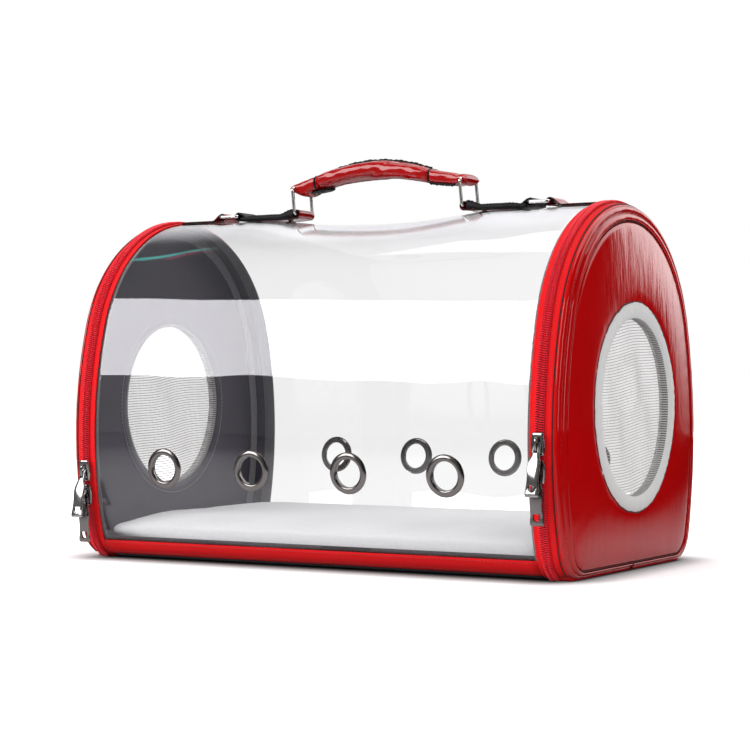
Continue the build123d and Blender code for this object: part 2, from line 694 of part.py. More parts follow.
bar_x = -RING_X - RING_HEIGHT * sin(lean)
tongue_z = bar_z - EYE_R - EYE_WALL
end_low = grip_centre(GRIP_LEFT_X) - grip_height(GRIP_LEFT_X) / 2
tongue_slope = (end_low - tongue_z) / (GRIP_LEFT_X - bar_x)
start_x = bar_x + EYE_R + EYE_WALL
start_z = tongue_z + tongue_slope * (start_x - bar_x)
tip_z = tongue_z + tongue_slope * (TONGUE_TIP_X - bar_x)
with BuildPart() as handle_tongue:
    with BuildSketch(Plane.XZ):
        with BuildLine():
            Polyline(
                (start_x, start_z),
                (TONGUE_TIP_X, tip_z),
                (TONGUE_TIP_X, tip_z - TONGUE_T),
                (start_x, start_z - TONGUE_T),
                close=True,
            )
        make_face()
    extrude(amount=TONGUE_WIDTH / 2, both=True)
    with BuildSketch(Plane.XY.offset(bar_z - RING_HEIGHT)):
        with BuildLine():
            Polyline(
                (bar_x, -TONGUE_WIDTH),
                (bar_x, TONGUE_WIDTH),
                (TONGUE_TIP_X - TONGUE_WIDTH, TONGUE_WIDTH),
                (TONGUE_TIP_X, 0),
                (TONGUE_TIP_X - TONGUE_WIDTH, -TONGUE_WIDTH),
                close=True,
            )
        make_face()
    extrude(amount=2 * RING_HEIGHT, mode=Mode.INTERSECT)
save(handle_tongue.part, "handle_tongue")

with BuildPart() as handle_rivet:
    rivet_x = GRIP_LEFT_X - END_RIVET_INSET
    rivet_z = tongue_z + tongue_slope * (rivet_x - bar_x) - TONGUE_T
    slope_angle = atan2(end_low - tongue_z, GRIP_LEFT_X - bar_x)
    down = (sin(slope_angle), 0, -cos(slope_angle))
    with BuildSketch(Plane(origin=(rivet_x, 0, rivet_z), x_dir=(0, 1, 0), z_dir=down)):
        Circle(RIVET_HEAD_R * 0.7)
    extrude(amount=RIVET_HEAD_T, taper=RIVET_TAPER)
save(handle_rivet.part, "handle_rivet")

# Zipper sliders and their pulls, on the front wall of both ends
plate_top = TAPE_T + COIL_H + SLIDER_CLEAR + SLIDER_PLATE_T
post_length = SLIDER_LENGTH / 3
for name, side in (("left", -1), ("right", 1)):
    for place, z, turn, tilt in (
        ("upper", SLIDER_Z[name][0], -1, UPPER_PULL_TILT),
        ("lower", SLIDER_Z[name][1], 1, LOWER_PULL_TILT),
    ):
        wall = wall_plane(side * zip_x, z)
        with BuildPart() as slider:
            for level in (-SLIDER_CLEAR - SLIDER_PLATE_T, plate_top - SLIDER_PLATE_T):
                with BuildSketch(wall.offset(level)) as plate:
                    with BuildLine():
                        Polyline(
                            (-SLIDER_TAIL_WIDTH / 2, -turn * SLIDER_LENGTH / 2),
                            (SLIDER_TAIL_WIDTH / 2, -turn * SLIDER_LENGTH / 2),
                            (SLIDER_WIDTH / 2, turn * SLIDER_LENGTH / 6),
                            (SLIDER_TAIL_WIDTH / 2, turn * SLIDER_LENGTH / 2),
                            (-SLIDER_TAIL_WIDTH / 2, turn * SLIDER_LENGTH / 2),
                            (-SLIDER_WIDTH / 2, turn * SLIDER_LENGTH / 6),
                            close=True,
                        )
                    make_face()
                    fillet(plate.vertices(), radius=SLIDER_PLATE_T)
                extrude(amount=SLIDER_PLATE_T)
            with BuildSketch(wall.offset(-SLIDER_CLEAR)):
                with Locations((0, turn * (SLIDER_LENGTH - post_length) / 2)):
                    Rectangle(POST_T, post_length)
            extrude(amount=plate_top - SLIDER_PLATE_T + SLIDER_CLEAR)
            upright = Plane(origin=wall.origin, x_dir=wall.y_dir, z_dir=wall.x_dir)
            with BuildSketch(upright):
                with Locations((0, plate_top)):
                    Rectangle(BAIL_LENGTH, BAIL_H, align=(Align.CENTER, Align.MIN))
                    Rectangle(
                        BAIL_LENGTH - 2 * BAIL_T,
                        BAIL_H - BAIL_T,
                        align=(Align.CENTER, Align.MIN),
                        mode=Mode.SUBTRACT,
                    )
            extrude(amount=BAIL_WIDTH / 2, both=True)
        save(slider.part, f"{name}_{place}_slider")

        pivot = wall.origin + wall.z_dir * (plate_top + (BAIL_H - BAIL_T) / 2)
        outward = (0, -cos(radians(tilt)), sin(radians(tilt)))
        hang = Plane(origin=pivot, x_dir=(1, 0, 0), z_dir=outward)
        round_y = -(PULL_LENGTH - PULL_WIDTH / 2)
        with BuildPart() as pull:
            with BuildSketch(hang.offset(-PULL_T / 2)):
                with BuildLine():
                    Polyline(
                        (-PULL_TOP_WIDTH / 2, 0),
                        (PULL_TOP_WIDTH / 2, 0),
                        (PULL_TOP_WIDTH / 2, -PULL_EYE_LENGTH),
                        (PULL_WIDTH / 2, round_y),
                        (-PULL_WIDTH / 2, round_y),
                        (-PULL_TOP_WIDTH / 2, -PULL_EYE_LENGTH),
                        close=True,
                    )
                make_face()
                with Locations((0, round_y)):
                    Circle(PULL_WIDTH / 2)
                    Circle(PULL_HOLE_R, mode=Mode.SUBTRACT)
                with Locations((0, round_y + PULL_HOLE_R)):
                    Rectangle(2 * PULL_HOLE_R, PULL_HOLE_R, align=(Align.CENTER, Align.CENTER))
                Rectangle(
                    BAIL_WIDTH + 2 * PULL_SIDE_CLEAR,
                    2 * (PULL_EYE_LENGTH - PULL_T),
                    mode=Mode.SUBTRACT,
                )
            extrude(amount=PULL_T)
            with BuildSketch(Plane(origin=pivot - Vector(PULL_TOP_WIDTH / 2, 0, 0), z_dir=(1, 0, 0))):
                Circle(PULL_BAR_R)
            extrude(amount=PULL_TOP_WIDTH)
        save(pull.part, f"{name}_{place}_pull")
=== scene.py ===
# %% [markdown]
# # A clear pet handbag carrier
# The carrier is a clear arched sheet between two red patent-leather end doors.
# Each door closes with a zipper and has an oval net window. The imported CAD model
# is the fixed frame: it says where every piece is. This lesson dresses it, piece
# by piece, in the same metres.

# %% Load the frame
import math
import bmesh
import bpy
import numpy as np
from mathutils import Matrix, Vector


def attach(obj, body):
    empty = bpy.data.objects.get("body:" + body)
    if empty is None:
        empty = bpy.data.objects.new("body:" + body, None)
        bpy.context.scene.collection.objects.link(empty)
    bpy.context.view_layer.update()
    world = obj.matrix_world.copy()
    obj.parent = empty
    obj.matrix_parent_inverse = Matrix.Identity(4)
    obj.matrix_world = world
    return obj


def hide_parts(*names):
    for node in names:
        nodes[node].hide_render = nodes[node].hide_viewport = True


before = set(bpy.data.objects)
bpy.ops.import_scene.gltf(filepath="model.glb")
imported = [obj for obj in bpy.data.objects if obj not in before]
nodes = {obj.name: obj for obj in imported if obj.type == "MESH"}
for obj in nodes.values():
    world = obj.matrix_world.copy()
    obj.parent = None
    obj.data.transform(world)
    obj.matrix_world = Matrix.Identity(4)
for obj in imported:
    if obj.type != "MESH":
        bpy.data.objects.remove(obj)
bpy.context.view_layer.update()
MM = 0.001
ENDS = (("left", -1), ("right", 1))

# %% [markdown]
# ## The arch outline
# Every long piece of the carrier follows one outline: a flat bottom, two round
# corners, two long side arcs and one top arc. A swept piece needs three things
# at each step along it: a point, the outward direction and the distance covered.
# With arcs that meet smoothly, moving inwards is just a smaller radius.

# %% Sizes of the outline, in millimetres
HEIGHT = 280.0
HALF_DEPTH = 132.0
WIDEST_Z = 101.5
TOP_R = 124.0
CORNER_R = 28.5
TOP_Z = HEIGHT - TOP_R
rise = TOP_Z - WIDEST_Z
SIDE_R = (HALF_DEPTH**2 + rise**2 - TOP_R**2) / (2 * (HALF_DEPTH - TOP_R))
SIDE_Y = SIDE_R - HALF_DEPTH
HIGH = math.atan2(rise, SIDE_Y)
ZIP_LOW = 3.4
BODY_ZIP_LOW = 1.4
SWEEP_STEP = 4.0


def arc(cy, cz, radius, start, stop, step=1.5):
    """Points (y, z, outward y, outward z) along an arc, in millimetres."""
    count = max(2, int(abs(stop - start) * radius / step))
    turn = np.linspace(start, stop, count)
    return np.stack([cy + radius * np.cos(turn), cz + radius * np.sin(turn), np.cos(turn), np.sin(turn)], 1)


def arch_line(inset=0.0, bottom=None, corner=None, low_z=None):
    """Half of the outline from the bottom, or from low_z, to the top, then mirrored, front to back."""
    floor_z = inset if bottom is None else bottom
    radius = CORNER_R - inset if corner is None else corner
    zc = floor_z + radius
    reach = SIDE_R - inset - radius
    low = math.asin((WIDEST_Z - zc) / reach)
    yc = reach * math.cos(low) - SIDE_Y
    start = -math.pi / 2 if low_z is None else math.asin((low_z - zc) / radius)
    back = np.concatenate([
        arc(yc, zc, radius, start, -low),
        arc(-SIDE_Y, WIDEST_Z, SIDE_R - inset, -low, HIGH)[1:],
        arc(0, TOP_Z, TOP_R - inset, HIGH, math.pi / 2)[1:],
    ])
    front = back * (-1, 1, -1, 1)
    return np.concatenate([front, back[::-1][1:]])


def spread(points, count=None, step=None):
    """The same line with even steps, and the distance of each point along it."""
    run = np.r_[0, np.cumsum(np.linalg.norm(np.diff(points[:, :2], axis=0), axis=1))]
    count = count or max(2, int(run[-1] / step))
    even = np.linspace(0, run[-1], count)
    return np.stack([np.interp(even, run, points[:, i]) for i in range(points.shape[1])], 1), even


outline_length = spread(arch_line(low_z=ZIP_LOW), count=2)[1][-1]
print("arch:", round(outline_length), "mm from one lower corner to the other")

# %% [markdown]
# ## Mesh builders
# Two small builders make nearly everything. A sweep carries a closed section
# over the arch. A loft joins rings of points. Both write a UV map in metres, a
# loft's measured on its first ring, so that a weave turns with the surface.

# %% Builders for swept and lofted pieces
def as_object(name, verts, faces, uvs=None, material=None, smooth=True):
    """A mesh object at the origin from vertices in millimetres."""
    mesh = bpy.data.meshes.new(name)
    mesh.from_pydata([tuple(float(c) * MM for c in v) for v in verts], [], faces)
    if uvs is not None:
        layer = mesh.uv_layers.new(name="cloth")
        flat = [float(c) for face in uvs for pair in face for c in pair]
        layer.data.foreach_set("uv", flat)
    if material:
        mesh.materials.append(material)
    mesh.polygons.foreach_set("use_smooth", [smooth] * len(mesh.polygons))
    mesh.update()
    piece = bpy.data.objects.new(name, mesh)
    bpy.context.scene.collection.objects.link(piece)
    return piece


def grid_faces(rows, columns, close_rows=False, close_columns=False):
    """Quads and their (row, column) corners over a grid of points."""
    faces = []
    corners = []
    for i in range(rows - (0 if close_rows else 1)):
        for j in range(columns - (0 if close_columns else 1)):
            quad = [(i, j), (i, j + 1), (i + 1, j + 1), (i + 1, j)]
            faces.append([(a % rows) * columns + b % columns for a, b in quad])
            corners.append(quad)
    return faces, corners


def outward_faces(piece):
    """Recalculate the normals of a closed mesh so that they point outwards."""
    work = bmesh.new()
    work.from_mesh(piece.data)
    bmesh.ops.recalc_face_normals(work, faces=work.faces)
    work.to_mesh(piece.data)
    work.free()
    return piece


def sweep(name, section, material, line, step=SWEEP_STEP):
    """Carry a closed section of (x, inset) points along a line, with caps on both ends."""
    points, run = spread(line, step=step)
    section = np.array(section, float)
    around = np.r_[0, np.cumsum(np.linalg.norm(np.diff(section, axis=0), axis=1))]
    around = np.r_[around, around[-1] + np.linalg.norm(section[0] - section[-1])]
    verts = []
    for y, z, ny, nz in points:
        for x, inset in section:
            verts.append((x, y - ny * inset, z - nz * inset))
    size = len(section)
    faces, corners = grid_faces(len(points), size, close_columns=True)
    uvs = [[(run[i] * MM, around[j] * MM) for i, j in quad] for quad in corners]
    for cap in (list(range(size)), [(len(points) - 1) * size + j for j in range(size)]):
        faces.append(cap)
        uvs.append([(0, around[j] * MM) for j in range(size)])
    return outward_faces(as_object(name, verts, faces, uvs, material))


def loft(name, rings, material, capped=False):
    """Join rings of the same number of points: the last one to the first, or a cap on each end."""
    size = len(rings[0])
    verts = np.concatenate(rings)
    faces, corners = grid_faces(len(rings), size, close_rows=not capped, close_columns=True)
    pace = np.linalg.norm(np.diff(rings[0], axis=0, append=rings[0][:1]), axis=1).mean() * MM
    gaps = [np.linalg.norm(b - a, axis=1).mean() for a, b in zip(rings, rings[1:] + rings[:1])]
    down = np.r_[0, np.cumsum(gaps)]
    uvs = [[(j * pace, down[i] * MM) for i, j in quad] for quad in corners]
    if capped:
        faces.append(list(range(size)))
        faces.append([(len(rings) - 1) * size + j for j in range(size)])
        uvs += [[(0, 0)] * size] * 2
    return outward_faces(as_object(name, verts, faces, uvs, material))


def rounded(corners, radius, steps=4):
    """A closed section with its corners rounded, from (x, inset) corners."""
    corners = [np.array(c, float) for c in corners]
    out = []
    for before, here, after in zip(corners[-1:] + corners[:-1], corners, corners[1:] + corners[:1]):
        a = before - here
        b = after - here
        cut = min(radius, np.linalg.norm(a) / 2.01, np.linalg.norm(b) / 2.01)
        a = here + a / np.linalg.norm(a) * cut
        b = here + b / np.linalg.norm(b) * cut
        for t in np.linspace(0, 1, steps):
            out.append((1 - t)**2 * a + 2 * t * (1 - t) * here + t**2 * b)
    return out


print("builders: sweep, loft and rounded sections")

# %% [markdown]
# ## Door rings
# The end doors are read from the window outwards. Around the window's middle,
# each ring is a distance for every direction: the oval near the window, the
# arch outline at the edge, and a mix between them. That lets one loft run from
# the edge of the door to the hole without any cut.

# %% Rings around the window
WINDOW_Z = 124.5
WINDOW_RY = 64.5
WINDOW_RZ = 68.0
DIRECTIONS = 300
angles = np.linspace(0, 2 * math.pi, DIRECTIONS, endpoint=False) - math.pi / 2


def edge_reach(inset, bottom, corner):
    """Distance from the window's middle to the outline, for each direction."""
    line = arch_line(inset, bottom, corner)
    line = spread(line, step=0.7)[0]
    floor_y = np.linspace(line[-1, 0], line[0, 0], 300)
    ys = np.r_[line[:, 0], floor_y]
    zs = np.r_[line[:, 1], np.full(300, line[0, 1])] - WINDOW_Z
    turn = np.unwrap(np.arctan2(zs, ys))
    order = np.argsort(np.mod(turn + math.pi / 2, 2 * math.pi))
    return np.interp(
        np.mod(angles + math.pi / 2, 2 * math.pi),
        np.mod(turn + math.pi / 2, 2 * math.pi)[order],
        np.hypot(ys, zs)[order],
        period=2 * math.pi,
    )


def oval_reach(grow=0.0):
    """Distance from the window's middle to the window's edge, widened by grow."""
    return 1 / np.hypot(np.cos(angles) / (WINDOW_RY + grow), np.sin(angles) / (WINDOW_RZ + grow))


def ring(x, reach):
    """Points of a ring at x, in millimetres."""
    ys = reach * np.cos(angles)
    zs = WINDOW_Z + reach * np.sin(angles)
    return np.stack([np.broadcast_to(x, reach.shape), ys, zs], 1)


def door_rings(rows, sign):
    """Rings from rows of (x, reach), at the left (-1) or the right (1) end."""
    return [ring(x, reach) * (sign, 1, 1) for x, reach in rows]


RIM_INSET = (1.2, 12.5)
RIM_LOW = (1.5, 4.9)
RIM_CORNER = (27.0, 22.0)


def rim_reach(inset):
    """Door outline at an inset: the bottom border is narrower than the sides."""
    share = (inset - RIM_INSET[0]) / (RIM_INSET[1] - RIM_INSET[0])
    bottom = RIM_LOW[0] + share * (RIM_LOW[1] - RIM_LOW[0])
    corner = RIM_CORNER[0] + share * (RIM_CORNER[1] - RIM_CORNER[0])
    return edge_reach(inset, bottom, corner)


print("door: rings of", DIRECTIONS, "points")

# %% [markdown]
# ## Repeating small things with Geometry Nodes
# A zipper coil has hundreds of equal turns and every seam has hundreds of equal
# stitches. One small node tree does both: it turns a line of points into a curve,
# spaces it evenly, puts a copy of a unit at each step, turned to the outward side
# and along the line, and makes the copies real. Without the line, the same tree
# puts the eyelets at their marks.

# %% A tree that copies a unit
def copying_tree(name, along):
    """Node tree: copies of Unit facing outward at points, or every Spacing metres along a line."""
    tree = bpy.data.node_groups.new(name, "GeometryNodeTree")
    face = tree.interface
    face.new_socket("Geometry", in_out="OUTPUT", socket_type="NodeSocketGeometry")
    face.new_socket("Geometry", in_out="INPUT", socket_type="NodeSocketGeometry")
    face.new_socket("Unit", in_out="INPUT", socket_type="NodeSocketObject")
    if along:
        face.new_socket("Spacing", in_out="INPUT", socket_type="NodeSocketFloat")
    face.new_socket("Material", in_out="INPUT", socket_type="NodeSocketMaterial")
    add = tree.nodes.new
    link = tree.links.new
    start = add("NodeGroupInput")
    end = add("NodeGroupOutput")
    unit = add("GeometryNodeObjectInfo")
    side = add("GeometryNodeInputNamedAttribute")
    side.data_type = "FLOAT_VECTOR"
    side.inputs["Name"].default_value = "outward"
    up = add("FunctionNodeAlignRotationToVector")
    up.axis = "Z"
    place = add("GeometryNodeInstanceOnPoints")
    real = add("GeometryNodeRealizeInstances")
    paint = add("GeometryNodeSetMaterial")
    places = start.outputs["Geometry"]
    turned = up.outputs["Rotation"]
    if along:
        to_curve = add("GeometryNodeMeshToCurve")
        even = add("GeometryNodeResampleCurve")
        even.mode = "LENGTH"
        tangent = add("GeometryNodeInputTangent")
        ahead = add("FunctionNodeAlignRotationToVector")
        ahead.axis = "Y"
        ahead.pivot_axis = "Z"
        link(places, to_curve.inputs[0])
        link(to_curve.outputs[0], even.inputs["Curve"])
        link(start.outputs["Spacing"], even.inputs["Length"])
        link(turned, ahead.inputs["Rotation"])
        link(tangent.outputs["Tangent"], ahead.inputs["Vector"])
        places = even.outputs["Curve"]
        turned = ahead.outputs["Rotation"]
    link(start.outputs["Unit"], unit.inputs["Object"])
    link(side.outputs["Attribute"], up.inputs["Vector"])
    link(places, place.inputs["Points"])
    link(unit.outputs["Geometry"], place.inputs["Instance"])
    link(turned, place.inputs["Rotation"])
    link(place.outputs["Instances"], real.inputs["Geometry"])
    link(real.outputs["Geometry"], paint.inputs["Geometry"])
    link(start.outputs["Material"], paint.inputs["Material"])
    link(paint.outputs["Geometry"], end.inputs["Geometry"])
    return tree


def socket_id(tree, name):
    """The identifier that a modifier uses for a named input."""
    return next(s.identifier for s in tree.interface.items_tree if s.name == name and s.in_out == "INPUT")


def made_real(piece, name):
    """Turn an object with modifiers into a plain mesh object and drop the first."""
    graph = bpy.context.evaluated_depsgraph_get()
    mesh = bpy.data.meshes.new_from_object(piece.evaluated_get(graph))
    mesh.name = name
    bpy.data.objects.remove(piece)
    done = bpy.data.objects.new(name, mesh)
    bpy.context.scene.collection.objects.link(done)
    return done


def modified(piece, tree, name, **values):
    """Run a node tree on a piece with the given inputs and keep the result as a mesh."""
    step = piece.modifiers.new("nodes", "NODES")
    step.node_group = tree
    for label, value in values.items():
        step[socket_id(tree, label)] = value
    return made_real(piece, name)


REPEAT = copying_tree("repeat along a line", along=True)


def along_line(name, points, outward, unit, spacing, material):
    """Copies of unit along points in millimetres, standing on the outward side."""
    mesh = bpy.data.meshes.new(name)
    verts = [tuple(p * MM) for p in np.array(points, float)]
    mesh.from_pydata(verts, [(i, i + 1) for i in range(len(verts) - 1)], [])
    side = mesh.attributes.new("outward", "FLOAT_VECTOR", "POINT")
    side.data.foreach_set("vector", np.array(outward, float).ravel())
    line = bpy.data.objects.new(name, mesh)
    bpy.context.scene.collection.objects.link(line)
    return modified(line, REPEAT, name, Unit=unit, Spacing=spacing * MM, Material=material)


def joined(name, pieces):
    """One mesh object from several."""
    work = bmesh.new()
    slots = []
    for piece in pieces:
        start = len(work.faces)
        work.from_mesh(piece.data)
        work.faces.ensure_lookup_table()
        shift = []
        for material in piece.data.materials:
            if material not in slots:
                slots.append(material)
            shift.append(slots.index(material))
        for face in work.faces[start:]:
            face.material_index = shift[face.material_index] if shift else 0
    mesh = bpy.data.meshes.new(name)
    work.to_mesh(mesh)
    work.free()
    for material in slots:
        mesh.materials.append(material)
    for piece in pieces:
        bpy.data.objects.remove(piece)
    done = bpy.data.objects.new(name, mesh)
    bpy.context.scene.collection.objects.link(done)
    return done


def hidden_unit(piece):
    """A unit is only copied, so it is not shown in the scene itself."""
    bpy.context.scene.collection.objects.unlink(piece)
    return piece


def stitch_unit(length, radius):
    """One stitch: a short thread that dips into the cloth at both ends."""
    rows = []
    for t in np.linspace(-1, 1, 5):
        swell = radius * (1 - 0.5 * abs(t)**3)
        height = radius * (0.9 - 1.1 * t * t)
        turn = np.linspace(0, 2 * math.pi, 6, endpoint=False)
        across_x = swell * np.cos(turn)
        up_z = height + swell * np.sin(turn)
        rows.append(np.stack([across_x, np.full(6, t * length / 2), up_z], 1))
    return hidden_unit(loft("stitch unit", rows, None, capped=True))


SEAM_STITCH = stitch_unit(2.3, 0.22)
print("repeat tree ready:", len(REPEAT.nodes), "nodes")

# %% [markdown]
# ## Materials
# Patent leather is a deep red base under a clear coat, with fine upright creases
# that break its reflections into streaks. Zipper tape is matt and woven in a
# herringbone. The sheet is clear, so only its gloss shows, most where it is seen
# edge-on. All patterns read the piece's own UV map or Object coordinates.

# %% Material helpers
def new_material(name, colour, roughness, **sockets):
    """A material with its constant values on the shader itself."""
    material = bpy.data.materials.new(name)
    material.use_nodes = True
    shader = material.node_tree.nodes["Principled BSDF"]
    shader.inputs["Base Color"].default_value = (*colour, 1)
    shader.inputs["Roughness"].default_value = roughness
    for label, value in sockets.items():
        shader.inputs[label.replace("_", " ")].default_value = value
    return material


def nodes_of(material):
    """Shorthands for adding nodes and links, and the shader."""
    tree = material.node_tree
    return tree.nodes.new, tree.links.new, tree.nodes["Principled BSDF"]


def mapped(material, scale, uv=False):
    """Object coordinates, or the cloth UV map, scaled by (x, y, z)."""
    new, link = nodes_of(material)[:2]
    if uv:
        source = new("ShaderNodeUVMap")
        source.uv_map = "cloth"
        out = source.outputs["UV"]
    else:
        out = new("ShaderNodeTexCoord").outputs["Object"]
    mapping = new("ShaderNodeMapping")
    mapping.inputs["Scale"].default_value = scale
    link(out, mapping.inputs["Vector"])
    return mapping.outputs["Vector"]


def noise(material, vector, scale=1.0, detail=4.0, roughness=0.55):
    """A noise value on a vector."""
    new, link = nodes_of(material)[:2]
    node = new("ShaderNodeTexNoise")
    node.inputs["Scale"].default_value = scale
    node.inputs["Detail"].default_value = detail
    node.inputs["Roughness"].default_value = roughness
    link(vector, node.inputs["Vector"])
    return node.outputs["Fac"]


def math_node(material, operation, a, b=None):
    """One Math node on sockets or numbers."""
    new, link = nodes_of(material)[:2]
    node = new("ShaderNodeMath")
    node.operation = operation
    for i, value in enumerate((a, b)):
        if value is None:
            continue
        if isinstance(value, (int, float)):
            node.inputs[i].default_value = value
        else:
            link(value, node.inputs[i])
    return node.outputs[0]


def bump(material, height, distance, strength=1.0):
    """Bump from a height, on top of any bump already there."""
    new, link, shader = nodes_of(material)
    node = new("ShaderNodeBump")
    node.inputs["Distance"].default_value = distance
    node.inputs["Strength"].default_value = strength
    link(height, node.inputs["Height"])
    if shader.inputs["Normal"].links:
        link(shader.inputs["Normal"].links[0].from_socket, node.inputs["Normal"])
    link(node.outputs["Normal"], shader.inputs["Normal"])


def set_range(node, start, stop, low, high):
    """Set a Map Range node to lead from low at start to high at stop."""
    for label, number in (("From Min", start), ("From Max", stop), ("To Min", low), ("To Max", high)):
        node.inputs[label].default_value = number


def vary(material, factor, low, high, socket="Base Color"):
    """Let a factor lead a colour or value socket from one setting to another."""
    new, link, shader = nodes_of(material)
    ramp = new("ShaderNodeValToRGB")
    for stop, value in zip(ramp.color_ramp.elements, (low, high)):
        stop.color = (*value, 1) if hasattr(value, "__len__") else (value, value, value, 1)
    link(factor, ramp.inputs["Fac"])
    link(ramp.outputs["Color"], shader.inputs[socket])


def weave(material, pitch, zigzag, depth):
    """Herringbone bump on the cloth map: slanted ribs that turn back every few millimetres."""
    new, link = nodes_of(material)[:2]
    apart = new("ShaderNodeSeparateXYZ")
    link(mapped(material, (1000, 1000, 1000), uv=True), apart.inputs[0])
    fold = math_node(material, "PINGPONG", apart.outputs["Y"], zigzag)
    slant = math_node(material, "ADD", apart.outputs["X"], fold)
    rib = math_node(material, "SINE", math_node(material, "MULTIPLY", slant, 2 * math.pi / pitch))
    crossing = math_node(material, "MULTIPLY", apart.outputs["Y"], 2 * math.pi / (pitch * 0.7))
    thread = math_node(material, "SINE", crossing)
    height = math_node(material, "ADD", rib, math_node(material, "MULTIPLY", thread, 0.4))
    bump(material, height, depth * MM)
    return height


print("material helpers ready")

# %% Red finishes
SWELL_DEPTH = 0.5 * MM
CREASE_DEPTH = 0.24 * MM
GRAIN_DEPTH = 0.12 * MM
CREASED_FROM = (("Y", -0.08, 0.07), ("Z", 0.075, 0.03))
LEAST_CREASED = 0.2


def creased_share(material):
    """The share of the creases' depth: full at the rear and near the floor, least elsewhere."""
    new, link = nodes_of(material)[:2]
    place = new("ShaderNodeSeparateXYZ")
    link(new("ShaderNodeTexCoord").outputs["Object"], place.inputs[0])
    shares = []
    for axis, start, stop in CREASED_FROM:
        step = new("ShaderNodeMapRange")
        set_range(step, start, stop, LEAST_CREASED, 1.0)
        link(place.outputs[axis], step.inputs["Value"])
        shares.append(step.outputs[0])
    return math_node(material, "MAXIMUM", *shares)


def patent(name, low, high, smooth=0.03, rough=0.13):
    """Red leather under a clear coat, with upright creases and streaks."""
    material = new_material(name, high, 0.34, Coat_Weight=1.0, Coat_Roughness=0.05)
    link, shader = nodes_of(material)[1:]
    shader.inputs["Specular IOR Level"].default_value = 0.0
    creases = noise(material, mapped(material, (190, 190, 32)), detail=4)
    swells = noise(material, mapped(material, (38, 38, 20)), detail=2)
    streaks = noise(material, mapped(material, (420, 420, 40)), detail=3)
    grain = noise(material, mapped(material, (330, 330, 75)), detail=2)
    share = creased_share(material)
    bump(material, swells, SWELL_DEPTH, 0.30)
    bump(material, math_node(material, "MULTIPLY", creases, share), CREASE_DEPTH, 0.8)
    bump(material, math_node(material, "MULTIPLY", grain, share), GRAIN_DEPTH, 0.7)
    link(shader.inputs["Normal"].links[0].from_socket, shader.inputs["Coat Normal"])
    vary(material, streaks, smooth, rough, "Coat Roughness")
    vary(material, noise(material, mapped(material, (14, 14, 9))), low, high)
    return material


PATENT = patent("patent_leather", (0.36, 0.001, 0.0015), (0.54, 0.002, 0.003))
# The same patent leather as the doors, with a darker base colour on the handle and straps: painted shade.
HANDLE_PATENT = patent("handle_patent", (0.24, 0.001, 0.0015), (0.46, 0.002, 0.003), 0.01, 0.04)

TAPE = new_material("zipper_tape", (0.95, 0.006, 0.010), 0.8, Sheen_Weight=0.02, Sheen_Roughness=0.4)
nodes_of(TAPE)[2].inputs["Specular IOR Level"].default_value = 0.2
ribs = weave(TAPE, 1.1, 2.2, 0.10)
vary(TAPE, math_node(TAPE, "MULTIPLY_ADD", ribs, 0.3), (0.80, 0.004, 0.008), (1.0, 0.009, 0.013))

# Near-black red used as painted shade: under the coil turns, in the crease between tape and rim, in the
# rim's bottom slit, on the piping cord in its groove and round the window ring's outer edge.
PAINTED_SHADE_RED = new_material("painted_shade_red", (0.07, 0.001, 0.002), 0.7)
bump(PAINTED_SHADE_RED, noise(PAINTED_SHADE_RED, mapped(PAINTED_SHADE_RED, (700, 700, 700))), 0.05 * MM)

COIL = new_material("nylon_coil", (0.85, 0.008, 0.025), 0.3)
nodes_of(COIL)[2].inputs["Specular IOR Level"].default_value = 0.35
bump(COIL, noise(COIL, mapped(COIL, (700, 700, 700))), 0.04 * MM)

THREAD = new_material("red_thread", (0.42, 0.004, 0.008), 0.5, Sheen_Weight=0.4)
bump(THREAD, noise(THREAD, mapped(THREAD, (4000, 4000, 4000)), detail=1), 0.03 * MM)
print("red finishes:", PATENT.name, TAPE.name, COIL.name, THREAD.name)

# %% Grey, white and black cloths
FELT = new_material("grey_binding", (0.17, 0.17, 0.185), 0.9, Sheen_Weight=0.3, Sheen_Roughness=0.5)
fuzz = noise(FELT, mapped(FELT, (900, 900, 900)), detail=6, roughness=0.75)
bump(FELT, fuzz, 0.35 * MM)
vary(FELT, fuzz, (0.05, 0.05, 0.055), (0.32, 0.32, 0.34))

LINING = new_material("slate_lining", (0.058, 0.055, 0.070), 0.55, Sheen_Weight=0.12, Sheen_Roughness=0.35)
cloth = noise(LINING, mapped(LINING, (1500, 1500, 300)), detail=2)
bump(LINING, noise(LINING, mapped(LINING, (9, 9, 9)), detail=1), 3.0 * MM, 0.4)
bump(LINING, noise(LINING, mapped(LINING, (40, 25, 60)), detail=3), 0.5 * MM, 0.4)
vary(LINING, cloth, (0.052, 0.047, 0.063), (0.070, 0.064, 0.086))

PLUSH = new_material("white_plush", (0.80, 0.80, 0.815), 0.85, Sheen_Weight=0.35, Sheen_Roughness=0.5)
tufts = noise(PLUSH, mapped(PLUSH, (420, 420, 420)), detail=5, roughness=0.65)
bump(PLUSH, tufts, 0.5 * MM, 0.7)
vary(PLUSH, tufts, (0.70, 0.70, 0.715), (0.88, 0.88, 0.89))

RING_CLOTH = new_material("window_ring_cloth", (0.74, 0.73, 0.72), 0.7, Sheen_Weight=0.3)
knit = noise(RING_CLOTH, mapped(RING_CLOTH, (1600, 1600, 1600)), detail=2)
bump(RING_CLOTH, knit, 0.12 * MM)
vary(RING_CLOTH, knit, (0.58, 0.575, 0.57), (0.80, 0.795, 0.79))

